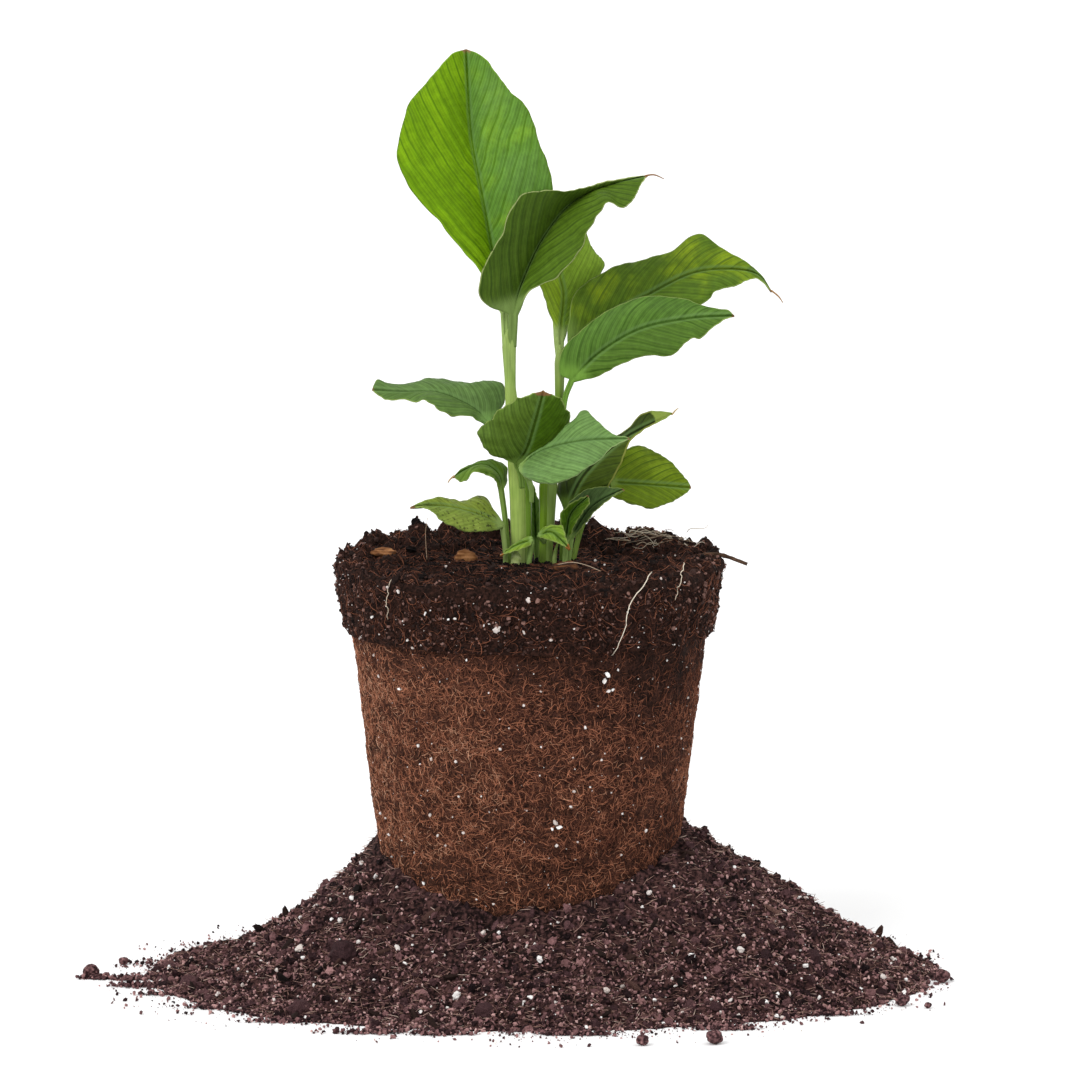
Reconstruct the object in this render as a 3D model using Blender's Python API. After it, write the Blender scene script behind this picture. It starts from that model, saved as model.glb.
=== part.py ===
"""Turmeric plant lifted out of its nursery pot.

The bare root ball keeps the shape of the pot, rim band and all, and stands in a heap of
loose potting soil. Two shoots and a few low petioles grow from it and carry the leaves.
Units are metres, +Z is up, and the origin is on the root ball's axis at the floor.
"""

import math
from dataclasses import dataclass

import bmesh
import bpy
import numpy as np
from mathutils import Vector, noise

MM = 0.001
GAP = 0.3 * MM  # air left between two pieces that touch

# --- root ball: a cast of its pot -------------------------------------------------------
BALL_FLOOR = 19 * MM  # underside above the floor
BALL_SIDE = 129.5 * MM  # underside to the foot of the rim band
BAND_HEIGHT = 28.5 * MM  # rim band, up to the soil level
BALL_FOOT_RADIUS = 58.5 * MM
BALL_SIDE_RADIUS = 74.5 * MM  # just under the rim band
BAND_STEP = 3 * MM  # how far the band stands out there
BALL_TOP_RADIUS = 81.5 * MM
FOOT_CHAMFER = 4 * MM
RIM_RISE = 3 * MM  # mean height of the crumbly rim above the soil level
RIM_TILT = 5 * MM  # the rim is that much higher at the back and lower at the front
RIM_EDGE = 2 * MM  # roundness of the rim's edge
SIDE_LUMP = 0.7 * MM
TOP_LUMP = 3 * MM
BALL_LEDGE = BALL_FLOOR + BALL_SIDE
SOIL_LEVEL = BALL_LEDGE + BAND_HEIGHT
PLANTED_RADIUS = 28 * MM  # level soil round the shoots
TURNS = 72  # flats round the root ball and the heap

# --- heap of loose soil -----------------------------------------------------------------
HEAP_REACH_SIDE = 167 * MM  # half the heap's width
HEAP_REACH_FRONT = 123 * MM  # half its depth
HEAP_RIGHT_SHIFT = 6 * MM  # it spreads a little further to the right
HEAP_CONTACT = 55 * MM  # mean height of the line where it meets the ball
HEAP_CONTACT_SIDE = 3 * MM  # that line is higher on the right
HEAP_CONTACT_BACK = 9 * MM  # and higher at the back
HEAP_CONTACT_SADDLE = 7 * MM  # and higher at both sides
HEAP_EDGE = 1.5 * MM  # thickness of the soil at its outline
HEAP_SLUMP = 1.5  # 1 is a straight slope, more is hollow
HEAP_SLUMP_LEFT = 0.35  # the left slope is that much hollower, the right one less so
HEAP_LUMP = 3 * MM

# --- plant ------------------------------------------------------------------------------
ROOTED = 10 * MM  # how deep shoots and petioles stand in the ball
PETIOLE_RADIUS = 1.1 * MM
CROWN_PETIOLE_RADIUS = 1.3 * MM
BLADE_THICKNESS = 0.7 * MM
TIP_WIDTH = 0.6 * MM
LEAF_SIZE = 1.0  # grows or shrinks every blade about its base
BUD_RADIUS = 2.3 * MM
BUD_HEIGHT = 6 * MM
SHEATH_RADIUS = 0.9 * MM
SHEATH_HEIGHT = 9 * MM
WELL_RISE = 8 * MM  # how far a hole's cutter stands above the soil

# --- loose pieces -----------------------------------------------------------------------
TWIG_RADIUS = 0.95 * MM
TWIG_TAPER = 0.75  # its thin end against its thick one
CHIP_THICKNESS = 1.4 * MM
CLOD_RADIUS = 3.4 * MM  # the largest clod

COLOURS = {
    "heap": (0.055, 0.028, 0.022),
    "ball": (0.115, 0.045, 0.022),
    "stem": (0.30, 0.46, 0.10),
    "bud": (0.38, 0.55, 0.18),
    "leaf": (0.10, 0.26, 0.02),
    "bright_leaf": (0.17, 0.38, 0.02),
    "old_leaf": (0.28, 0.40, 0.05),
    "twig": (0.07, 0.035, 0.02),
    "chip": (0.30, 0.13, 0.05),
}
ROUGHNESS = {"heap": 0.95, "ball": 0.9, "twig": 0.8, "chip": 0.7}


@dataclass(frozen=True)
class Shoot:
    """A pseudostem: its axis and radius at heights above the soil, in millimetres."""

    name: str
    axis: tuple  # (x, y, height)
    radii: tuple

    def at(self, height):
        """Centre and radius at a height above the soil level, in metres."""
        heights = [point[2] * MM for point in self.axis]
        x, y = (np.interp(height, heights, [p[k] * MM for p in self.axis]) for k in (0, 1))
        radius = float(np.interp(height, heights, [r * MM for r in self.radii]))
        return Vector((x, y, SOIL_LEVEL + height)), radius


LEFT_SHOOT = Shoot(
    "left_shoot",
    ((-3.4, 0, 0), (-3.3, 0, 12), (-3.6, 0, 27), (-5.5, 0, 40), (-6.9, 0, 53), (-7.8, 0, 78),
     (-8.4, 0, 91)),
    (4.2, 4.5, 4.6, 3.4, 2.6, 2.5, 2.9),
)
RIGHT_SHOOT = Shoot(
    "right_shoot",
    ((6.8, 0, 0), (7.4, 0, 14), (8.0, 0, 32), (10.6, 0, 52), (12.8, 0, 69), (13.0, 0, 84)),
    (2.8, 3.2, 3.8, 2.7, 1.9, 2.3),
)


@dataclass(frozen=True)
class Leaf:
    """A blade with its petiole.

    The petiole starts in the soil at soil=(x, y), in the soil beside a shoot at a bearing and
    a distance from its thickest part, on a shoot's side at a height and a bearing, or on a
    shoot's top at top=(x, y) from its axis. reach is the way from there to the blade's base,
    and bends are points on that way, all in millimetres. The blade is drawn by its midrib and
    its two edges, which run from the base to the midrib's last point, in hundredths of its
    length.
    """

    name: str
    length: float
    reach: tuple
    midrib: tuple
    left: tuple
    right: tuple
    soil: tuple = None
    beside: float = None
    shoot: Shoot = None
    height: float = 0.0
    bearing: float = 0.0
    top: tuple = None
    bends: tuple = ()
    colour: str = "leaf"

    @property
    def radius(self):
        return CROWN_PETIOLE_RADIUS if self.top else PETIOLE_RADIUS

    @property
    def rooted(self):
        return bool(self.soil) or self.beside is not None

    def foot(self):
        """Where the petiole leaves the soil or its shoot."""
        if self.soil:
            return Vector((self.soil[0] * MM, self.soil[1] * MM, SOIL_LEVEL))
        turn = math.radians(self.bearing)
        way_out = Vector((math.cos(turn), math.sin(turn), 0))
        if self.rooted:
            centre, _ = self.shoot.at(0.0)
            clear = (max(self.shoot.radii) + self.beside) * MM
            return centre + way_out * (clear + GAP + self.radius)
        if self.top:
            centre, _ = self.shoot.at(self.shoot.axis[-1][2] * MM)
            return centre + Vector((self.top[0] * MM, self.top[1] * MM, GAP))
        centre, radius = self.shoot.at(self.height * MM)
        return centre + way_out * (radius + GAP + self.radius)


LEAVES = (
    Leaf(
        "crown_leaf", 110, (-0.3, 3.7, 14), top=(-1.5, 0.2), shoot=LEFT_SHOOT, colour="bright_leaf",
        midrib=((-3, 4, 14), (-7, 9, 36), (-10, 13, 51), (-13, 18, 68), (-15, 21, 97)),
        left=((-9, 0, 15), (-22, 0, 31), (-35, 2, 46), (-41, 5, 59), (-38, 10, 76),
              (-31, 14, 86), (-21, 19, 95)),
        right=((12, 3, 17), (18, 5, 37), (18, 5, 50), (13, 8, 66), (8, 12, 78), (1, 15, 85),
               (-8, 19, 94)),
    ),
    Leaf(
        "folded_leaf", 81, (0.2, -0.8, 13.7), top=(1.5, -0.2), shoot=LEFT_SHOOT,
        midrib=((5, 3, 17), (16, 4, 40), (31, 4, 58), (51, -3, 68), (69, -11, 73)),
        left=((-13, -5, 5), (-18, -10, 15), (-9, -11, 38), (0, -12, 57), (7, -11, 64),
              (20, -9, 65), (42, -6, 68), (60, -8, 72)),
        right=((9, -3, 13), (23, -11, 20), (36, -16, 38), (45, -20, 55), (49, -21, 60),
               (56, -20, 58), (63, -17, 62)),
    ),
    Leaf(
        "rear_leaf", 59, (-0.4, 5, 9), top=(0, 0), shoot=RIGHT_SHOOT, colour="old_leaf",
        midrib=((2, 9, 15), (3, 16, 33), (-1, 24, 53), (1, 31, 76), (11, 34, 95)),
        left=((-6, 7, 17), (-15, 10, 41), (-18, 19, 58), (-10, 29, 80)),
        right=((12, 19, 18), (32, 35, 48), (26, 39, 60), (16, 38, 83)),
    ),
    Leaf(
        "upper_right_leaf", 90, (1.0, 2.5, 9), shoot=RIGHT_SHOOT, height=80, bearing=25,
        midrib=((10, 5, 12), (36, 12, 25), (57, 16, 35), (75, 16, 37), (88, 12, 35),
                (95, 10, 27)),
        left=((-1, -1, 12), (2, 4, 26), (16, 14, 36), (36, 21, 42), (47, 24, 44), (60, 25, 53),
              (71, 20, 47), (86, 14, 38)),
        right=((15, 1, 2), (41, 2, 12), (63, 5, 22), (70, 6, 28), (80, 8, 31), (87, 9, 33)),
    ),
    Leaf(
        "lower_right_leaf", 74, (3.5, -1.2, 13), shoot=RIGHT_SHOOT, height=64.5, bearing=-50,
        bends=((1.0, -0.4, 6.5),),
        midrib=((15, -5, 16), (39, -13, 31), (68, -23, 38), (91, -31, 40)),
        left=((-7, 0, 4), (-5, -1, 18), (10, -3, 33), (34, -7, 47), (55, -13, 49),
              (74, -21, 45), (87, -28, 43)),
        right=((15, -5, 3), (38, -17, 15), (57, -24, 17), (67, -29, 27), (73, -30, 28),
               (85, -31, 37)),
    ),
    Leaf(
        "left_leaf", 52, (-6.5, 1.0, 9), shoot=LEFT_SHOOT, height=49.5, bearing=160,
        bends=((-3.5, 0.6, 5.5),),
        midrib=((-14, 5, 13), (-40, 9, 24), (-68, 11, 25), (-95, 16, 26)),
        left=((12, 15, 14), (10, 23, 30), (-22, 28, 31), (-37, 28, 33), (-58, 26, 32),
              (-79, 25, 29), (-90, 21, 34)),
        right=((-16, -10, 6), (-35, -13, 10), (-51, -9, 18), (-69, 2, 19), (-84, 9, 18)),
    ),
    Leaf(
        "front_left_leaf", 42, (-2.5, -2.4, 11), shoot=LEFT_SHOOT, height=32, bearing=-75,
        bends=((-0.6, -0.9, 6),),
        midrib=((10, -10, 15), (18, -31, 42), (27, -57, 78)),
        left=((-20, -7, 7), (-35, -14, 21), (-38, -19, 32), (-28, -26, 46), (-4, -45, 67),
              (14, -55, 76)),
        right=((21, -7, 3), (43, -14, 22), (54, -26, 46), (43, -52, 72)),
    ),
    Leaf(
        "front_right_leaf", 52, (-4.5, -9.0, 16), shoot=LEFT_SHOOT, height=26, bearing=-40,
        bends=((-0.5, -4.0, 8),),
        midrib=((17, -14, 15), (48, -33, 25), (87, -41, 28)),
        left=((7, -6, 10), (28, -15, 25), (41, -21, 41), (52, -25, 49), (63, -31, 39),
              (75, -37, 31)),
        right=((0, -12, -4), (14, -37, -9), (36, -52, -5), (54, -52, 5), (73, -44, 20)),
    ),
    Leaf(
        "curled_leaf", 22, (-4.0, 6.4, 30.6), beside=0.2, shoot=LEFT_SHOOT, bearing=-135,
        bends=((-1.2, 2.2, 7), (-2.4, 5.4, 19)),
        midrib=((-6, 4, 29), (-33, -5, 48), (-67, -24, 42), (-92, -41, 29)),
        left=((12, 18, 15), (6, 27, 45), (-21, 20, 55), (-67, -19, 47)),
        right=((-13, -20, 20), (-40, -44, 38), (-58, -50, 33), (-73, -48, 19)),
    ),
    Leaf(
        "speckled_leaf", 42, (-1.3, 1.4, 16), soil=(-9.8, -7.4), bends=((-0.2, 0.2, 7),),
        colour="old_leaf",
        midrib=((-25, -11, 14), (-57, -29, 24), (-91, -52, 26)),
        left=((-6, 9, 12), (-17, 17, 26), (-25, 16, 28), (-43, 4, 25), (-66, -29, 33)),
        right=((-13, -19, -3), (-33, -36, -1), (-54, -48, 7), (-73, -52, 23)),
    ),
    Leaf(
        "right_low_leaf", 35, (15.2, 3, 33), soil=(18.6, 5), bends=((3.8, 2, 14.6), (9.7, 3, 25.8)),
        colour="bright_leaf",
        midrib=((44, 18, -5), (100, 34, -11)),
        left=((4, 12, 21), (31, 35, 40), (60, 43, 30), (87, 40, 8)),
        right=((4, -8, -16), (30, -12, -27), (57, -3, -31), (86, 22, -22)),
    ),
    Leaf(
        "long_tip_leaf", 61, (1.7, 0, 21.3), soil=(13.9, 3), bends=((0.4, 0, 10.2),),
        midrib=((13, -1, 26), (40, 3, 50), (74, 8, 67)),
        left=((-6, 10, 18), (15, 12, 41), (38, 8, 53), (53, 8, 67), (63, 7, 69)),
        right=((21, 1, 8), (32, -1, 21), (40, -2, 38), (47, 2, 51), (64, 7, 61)),
    ),
    Leaf(
        "dark_low_leaf", 31, (1.3, 0, 11), soil=(16.4, -4), bends=((0.5, 0, 4.5),),
        midrib=((28, -10, 43), (71, -16, 68)),
        left=((-11, 6, 26), (1, 6, 51), (27, -3, 68), (52, -10, 70)),
        right=((23, -16, 25), (36, -22, 41), (55, -22, 57)),
    ),
    Leaf(
        "young_leaf", 21, (0.4, 0, 10.6), soil=(15.1, -9), colour="bright_leaf",
        midrib=((10, 0, 52), (44, -9, 89)),
        left=((-12, -14, 36), (-8, -14, 60), (20, -14, 82)),
        right=((22, -19, 39), (38, -24, 63), (48, -19, 79)),
    ),
    Leaf(
        "low_left_leaf", 15, (1.3, -0.4, 10.4), soil=(-0.1, -8), colour="bright_leaf",
        midrib=((-42, -7, -13), (-90, -13, -41)),
        left=((-6, 7, 11), (-40, 0, -4)),
        right=((-11, -20, -17), (-54, -27, -31)),
    ),
    Leaf(
        "low_right_leaf", 16, (-2.0, -3.4, 3.4), shoot=RIGHT_SHOOT, height=9, bearing=-100,
        colour="old_leaf",
        midrib=((35, -36, 11), (78, -80, -26)),
        left=((19, -16, 27), (59, -48, 32), (67, -68, 11)),
        right=((19, -48, -6), (54, -78, -14)),
    ),
    Leaf(
        "rear_young_leaf", 25, (-0.4, 0, 6.5), soil=(3.3, 9),
        midrib=((-2, 0, 52), (-5, 4, 100)),
        left=((-10, -4, 26), (-12, 0, 69)),
        right=((9, -4, 26), (7, 0, 64)),
    ),
)

# (name, x, y, length, width): x and y as shares of the ball's top radius, sizes in millimetres
CHIPS = (
    ("left_bark_chip", -0.755, 0.04, 9.5, 5.5),
    ("middle_bark_chip", -0.33, 0.06, 9.0, 6.0),
    ("flat_bark_chip", 0.19, -0.38, 10.5, 6.5),
)
# (bearing in degrees, millimetres from the heap's outline, share of the largest clod's size)
CLODS = (
    (-178, 22, 1.0), (173, 13, 0.6), (-6, 1, 1.0), (-24, 7, 0.9), (-24, 20, 0.45),
    (-73, 29, 0.75), (-63, 33, 1.0), (112, 34, 0.8),
)
# points of the twig: millimetres out from the rim, to the rear, and above the soil level
TWIG = ((-15.5, 5, 0.5), (-2.5, 2, 3.0), (10.5, -1, -0.8))
# (name, x, y, radius, height, lean of the tip), in millimetres but for the named sizes
BUDS = (
    ("young_bud", -5.3, -8.3, BUD_RADIUS, BUD_HEIGHT, -0.5),
    ("young_sheath", 10.6, -4.2, SHEATH_RADIUS, SHEATH_HEIGHT, 1.6),
)


def clear_scene():
    for thing in list(bpy.data.objects):
        bpy.data.objects.remove(thing, do_unlink=True)


def material(kind):
    """The plain finish of one kind of piece, made once."""
    found = bpy.data.materials.get(kind)
    if found:
        return found
    made = bpy.data.materials.new(kind)
    made.use_nodes = True
    shader = made.node_tree.nodes["Principled BSDF"]
    shader.inputs["Base Color"].default_value = (*COLOURS[kind], 1)
    shader.inputs["Roughness"].default_value = ROUGHNESS.get(kind, 0.45)
    shader.inputs["Metallic"].default_value = 0.0
    return made


def add_object(name, mesh, kind, place=(0, 0, 0), parent=None):
    """Names the mesh's object, dresses it and sets it at a world place under its parent."""
    mesh.shade_smooth()
    mesh.set_sharp_from_angle(angle=math.radians(50))
    mesh.materials.append(material(kind))
    made = bpy.data.objects.new(name, mesh)
    bpy.context.scene.collection.objects.link(made)
    made.parent = parent
    made.location = Vector(place) - (parent.location if parent else Vector())
    return made


def mesh_from_rings(name, rings, first_cap=None, last_cap=None):
    """A closed body from rings of as many points, its ends fanned to a point if given."""
    bm = bmesh.new()
    rows = [[bm.verts.new(point) for point in ring] for ring in rings]
    count = len(rows[0])
    for below, above in zip(rows, rows[1:]):
        for i in range(count):
            j = (i + 1) % count
            bm.faces.new((below[i], below[j], above[j], above[i]))
    for row, centre in ((rows[0], first_cap), (rows[-1], last_cap)):
        if centre is None:
            bm.faces.new(row)
            continue
        hub = bm.verts.new(centre)
        for i in range(count):
            bm.faces.new((row[i], row[(i + 1) % count], hub))
    bmesh.ops.triangulate(bm, faces=bm.faces)
    bmesh.ops.recalc_face_normals(bm, faces=bm.faces)
    if bm.calc_volume(signed=True) < 0:
        bmesh.ops.reverse_faces(bm, faces=bm.faces)
    mesh = bpy.data.meshes.new(name)
    bm.to_mesh(mesh)
    bm.free()
    return mesh


def lumps(x, y, z, grain):
    """A smooth bump pattern between -1 and 1, with features of about the grain's size."""
    return noise.noise(Vector((x, y, z)) / grain)


def ease(value):
    """0 up to 0, 1 from 1, and a smooth step between."""
    t = min(max(value, 0.0), 1.0)
    return t * t * (3 - 2 * t)


# --- root ball and heap -----------------------------------------------------------------


def ball_side_radius(z):
    """Radius of the ball's tapering side, below its rim band."""
    share = (z - BALL_FLOOR) / BALL_SIDE
    return BALL_FOOT_RADIUS + share * (BALL_SIDE_RADIUS - BALL_FOOT_RADIUS)


def circle(radius, z, swell=lambda angle: 0.0):
    """A level ring of TURNS points, moved out by swell at each angle."""
    angles = [2 * math.pi * i / TURNS for i in range(TURNS)]
    reach = [radius + swell(a) for a in angles]
    return [(r * math.cos(a), r * math.sin(a), z) for r, a in zip(reach, angles)]


def soil_height(x, y):
    """Height of the ball's top: level round the shoots, lumpy outside, raised at the rim."""
    out = (math.hypot(x, y) - PLANTED_RADIUS) / (BALL_TOP_RADIUS - PLANTED_RADIUS)
    rim = RIM_RISE + RIM_TILT * y / BALL_TOP_RADIUS
    rise = rim * ease(out) * (0.75 + 0.5 * lumps(x, y, 0.5, 25 * MM))
    return SOIL_LEVEL + rise + TOP_LUMP * ease(3 * out) * lumps(x, y, 0.1, 11 * MM)


def build_root_ball(wells):
    """The ball, with a hole wherever a shoot, petiole or twig stands in it."""
    in_heap = HEAP_CONTACT + HEAP_CONTACT_SIDE + HEAP_CONTACT_BACK + HEAP_CONTACT_SADDLE
    rings = [circle(BALL_FOOT_RADIUS - FOOT_CHAMFER, BALL_FLOOR)]
    for z in np.linspace(BALL_FLOOR + FOOT_CHAMFER, BALL_LEDGE, 9):
        radius = ball_side_radius(z)
        rough = SIDE_LUMP * ease((z - in_heap) / (20 * MM))
        rings.append(circle(radius, z, lambda a: rough * lumps(
            radius * math.cos(a), radius * math.sin(a), z, 14 * MM)))
    band_foot = BALL_SIDE_RADIUS + BAND_STEP
    for share in np.linspace(BAND_STEP / 2 / BAND_HEIGHT, 1, 5):
        radius = band_foot + share * (BALL_TOP_RADIUS - band_foot)
        level = BALL_LEDGE + share * BAND_HEIGHT
        rough = circle(radius, level, lambda a: SIDE_LUMP * lumps(
            radius * math.cos(a), radius * math.sin(a), level, 9 * MM))
        crests = [soil_height(x, y) - RIM_EDGE for x, y, _ in rough]
        rings.append([(x, y, BALL_LEDGE + share * (crest - BALL_LEDGE))
                      for (x, y, _), crest in zip(rough, crests)])
    for share in (0.97, 0.9, 0.8, 0.7, 0.6, 0.5, 0.42, PLANTED_RADIUS / BALL_TOP_RADIUS):
        radius = share * BALL_TOP_RADIUS
        flat = circle(radius, 0)
        rings.append([(x, y, soil_height(x, y)) for x, y, _ in flat])
    mesh = mesh_from_rings("root_ball", rings, (0, 0, BALL_FLOOR), None)
    ball = add_object("root_ball", mesh, "ball")
    for number, well in enumerate(wells):
        cut = ball.modifiers.new(f"well_{number}", "BOOLEAN")
        cut.operation = "DIFFERENCE"
        cut.object = well
    return ball


def heap_contact(angle):
    """Height of the line where the heap meets the ball, at one angle round it."""
    return (
        HEAP_CONTACT
        + HEAP_CONTACT_SIDE * math.cos(angle)
        + HEAP_CONTACT_BACK * math.sin(angle)
        + HEAP_CONTACT_SADDLE * math.cos(2 * angle)
    )


def heap_reach(angle):
    """Distance from the ball's axis to the heap's outline."""
    side = HEAP_REACH_SIDE + HEAP_RIGHT_SHIFT * math.cos(angle)
    plain = 1 / math.hypot(math.cos(angle) / side, math.sin(angle) / HEAP_REACH_FRONT)
    return plain + HEAP_LUMP * lumps(plain * math.cos(angle), plain * math.sin(angle), 0, 30 * MM)


def heap_ring(share):
    """One ring of the slope, from the ball at 0 to the outline at 1."""
    ring = []
    for i in range(TURNS):
        angle = 2 * math.pi * i / TURNS
        top = heap_contact(angle)
        start = ball_side_radius(top) + GAP
        radius = start + share * (heap_reach(angle) - start)
        x, y = radius * math.cos(angle), radius * math.sin(angle)
        slump = HEAP_SLUMP - HEAP_SLUMP_LEFT * math.cos(angle)
        slope = HEAP_EDGE + (top - HEAP_EDGE) * (1 - share) ** slump
        bump = HEAP_LUMP * 4 * share * (1 - share) * lumps(x, y, slope, 17 * MM)
        ring.append((x, y, slope + bump))
    return ring


def build_heap():
    """Loose soil with a pocket that the foot of the ball stands in."""
    corner = (math.sqrt(2) - 1) * GAP  # a chamfer's corners move less than its faces
    chamfer_top = BALL_FLOOR + FOOT_CHAMFER
    wall_foot = chamfer_top - corner
    rings = [
        circle(BALL_FOOT_RADIUS - FOOT_CHAMFER + corner, BALL_FLOOR - GAP),
        circle(ball_side_radius(chamfer_top) + GAP, wall_foot),
    ]
    for share in (0.5, 1.0):
        ring = []
        for i in range(TURNS):
            angle = 2 * math.pi * i / TURNS
            z = wall_foot + share * (heap_contact(angle) - wall_foot)
            radius = ball_side_radius(z) + GAP
            ring.append((radius * math.cos(angle), radius * math.sin(angle), z))
        rings.append(ring)
    slope = (0.07, 0.15, 0.25, 0.36, 0.48, 0.6, 0.72, 0.84, 0.93, 1.0)
    rings += [heap_ring(share) for share in slope]
    rings.append([(x, y, 0.0) for x, y, _ in rings[-1]])
    mesh = mesh_from_rings("soil_heap", rings, (0, 0, BALL_FLOOR - GAP), (0, 0, 0))
    return add_object("soil_heap", mesh, "heap")


# --- curves and lofts -------------------------------------------------------------------


def smooth_curve(points, shares):
    """Points at shares of the length of a smooth curve through the given points."""
    way = np.array([tuple(p) for p in points], float)
    padded = np.vstack([2 * way[0] - way[1], way, 2 * way[-1] - way[-2]])
    fine = []
    for k in range(len(way) - 1):
        a, b, c, d = padded[k : k + 4]
        for t in np.linspace(0, 1, 12, endpoint=False):
            fine.append(0.5 * (2 * b + (c - a) * t + (2 * a - 5 * b + 4 * c - d) * t**2
                               + (3 * b - a - 3 * c + d) * t**3))
    fine = np.array(fine + [way[-1]])
    run = np.concatenate([[0], np.cumsum(np.linalg.norm(np.diff(fine, axis=0), axis=1))])
    return np.stack([np.interp(np.array(shares) * run[-1], run, fine[:, k]) for k in range(3)], 1)


def tube_rings(path, radii, sides=12):
    """Level rings at the foot and rings square to the path elsewhere."""
    rings = []
    for k, (centre, radius) in enumerate(zip(path, radii)):
        ahead = Vector(path[min(k + 1, len(path) - 1)]) - Vector(path[max(k - 1, 0)])
        way = Vector((0, 0, 1)) if k < 2 else ahead.normalized()
        turn = Vector((0, 0, 1)).rotation_difference(way)
        rings.append([
            Vector(centre) + turn @ Vector((radius * math.cos(a), radius * math.sin(a), 0))
            for a in (2 * math.pi * i / sides for i in range(sides))
        ])
    return rings


def build_shoot(shoot, parent):
    """A pseudostem standing ROOTED deep in the ball."""
    foot, foot_radius = shoot.at(0.0)
    tall = shoot.axis[-1][2] * MM
    shares = np.linspace(0, 1, 12)
    above = [shoot.at(tall * share) for share in shares]
    path = [foot - Vector((0, 0, ROOTED))] + [centre for centre, _ in above]
    radii = [foot_radius] + [radius for _, radius in above]
    local = [point - foot for point in path]
    mesh = mesh_from_rings(shoot.name, tube_rings(local, radii))
    return add_object(shoot.name, mesh, "stem", foot, parent)


def square_to(side, way):
    """The unit vector nearest to side that is square to way."""
    return (side - side.project(way)).normalized()


def blade_edge(base, start, points, tip, unit):
    """An edge's points, from beside the base to beside the tip."""
    return [base + start] + [base + Vector(p) * unit for p in points] + [tip]


def build_leaf(leaf, parent):
    """Petiole and blade in one body: a row of sections, round below and flat above."""
    foot = leaf.foot()
    reach = Vector(leaf.reach) * MM
    unit = leaf.length * MM * LEAF_SIZE / 100
    way = [Vector((0, 0, 0))] + [Vector(b) * MM for b in leaf.bends] + [reach]
    petiole = list(smooth_curve(way, np.linspace(0, 1, 5 if leaf.bends else 4)))
    if leaf.rooted:
        petiole.insert(0, np.array((0, 0, -ROOTED)))
    tip = reach + Vector(leaf.midrib[-1]) * unit
    across = square_to(Vector(leaf.left[0]) - Vector(leaf.right[0]), Vector(leaf.midrib[0]))
    tip_across = square_to(
        Vector(leaf.left[-1]) - Vector(leaf.right[-1]),
        Vector(leaf.midrib[-1]) - Vector(leaf.midrib[-2]),
    )
    rows = len(leaf.left) + len(leaf.right) + 3
    upright = 2 if leaf.rooted else 1 if leaf.top else 0  # sections that stay level
    shares = np.linspace(0, 1, rows)
    beside = across * leaf.radius
    point = tip_across * TIP_WIDTH / 2
    midrib = smooth_curve([reach] + [reach + Vector(p) * unit for p in leaf.midrib], shares)
    left = smooth_curve(blade_edge(reach, beside, leaf.left, tip + point, unit), shares)
    right = smooth_curve(blade_edge(reach, -beside, leaf.right, tip - point, unit), shares)
    mids = np.vstack([petiole[:-1], midrib])
    stem_rows = len(petiole) - 1
    lefts, rights = [], []
    for k in range(stem_rows):
        ahead = Vector(mids[k + 1] - mids[max(k - 1, 0)])
        if k < upright:
            ahead = Vector((0, 0, 1))
        side = square_to(across, ahead) * leaf.radius
        lefts.append(np.array(mids[k]) + np.array(side))
        rights.append(np.array(mids[k]) - np.array(side))
    lefts = np.vstack([lefts, left])
    rights = np.vstack([rights, right])
    shape = np.array((1.0, 2 / 3, 1 / 3))
    sheet = np.stack(
        [mids + (lefts - mids) * s for s in shape] + [mids]
        + [mids + (rights - mids) * s for s in shape[::-1]], 1)
    along = np.gradient(sheet, axis=0)
    along[:upright] = (0, 0, 1)
    crossing = np.gradient(sheet, axis=1)
    normal = np.cross(along, crossing)
    normal /= np.maximum(np.linalg.norm(normal, axis=2, keepdims=True), 1e-12)
    width = np.array([1.0, 2 / 3, 1 / 3, 0, 1 / 3, 2 / 3, 1.0])
    rings = []
    for k in range(len(mids)):
        blade = min(max((k - stem_rows) / (0.2 * rows), 0), 1) if k >= stem_rows else 0.0
        round_part = leaf.radius * np.sqrt(1 - width**2)
        flat_part = BLADE_THICKNESS / 2 * (1 - width**6)
        thick = (round_part * (1 - blade) + flat_part * blade)[:, None] * normal[k]
        upper = sheet[k] + thick
        lower = sheet[k] - thick
        rings.append([Vector(p) for p in upper] + [Vector(p) for p in lower[-2:0:-1]])
    mesh = mesh_from_rings(leaf.name, rings)
    return add_object(leaf.name, mesh, leaf.colour, foot, parent)


# --- small pieces -----------------------------------------------------------------------


def build_bud(name, x, y, radius, height, lean, parent):
    """A short pointed shoot that stands in the soil."""
    foot = Vector((x * MM, y * MM, SOIL_LEVEL))
    path = [(0, 0, -ROOTED), (0, 0, 0)]
    path += [(lean * MM * s * s, 0, height * s) for s in (0.35, 0.65, 0.88, 1.0)]
    radii = [radius * share for share in (1, 1, 0.95, 0.75, 0.4, 0.08)]
    mesh = mesh_from_rings(name, tube_rings(path, radii, 10))
    return add_object(name, mesh, "bud", foot, parent)


def twig_path(extra):
    """The twig's axis, lengthened by extra at its buried end."""
    rim = Vector((BALL_TOP_RADIUS, 0, SOIL_LEVEL))
    points = [rim + Vector(p) * MM for p in TWIG]
    points[0] += (points[0] - points[1]).normalized() * extra
    return [Vector(p) for p in smooth_curve(points, np.linspace(0, 1, 9))]


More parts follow.
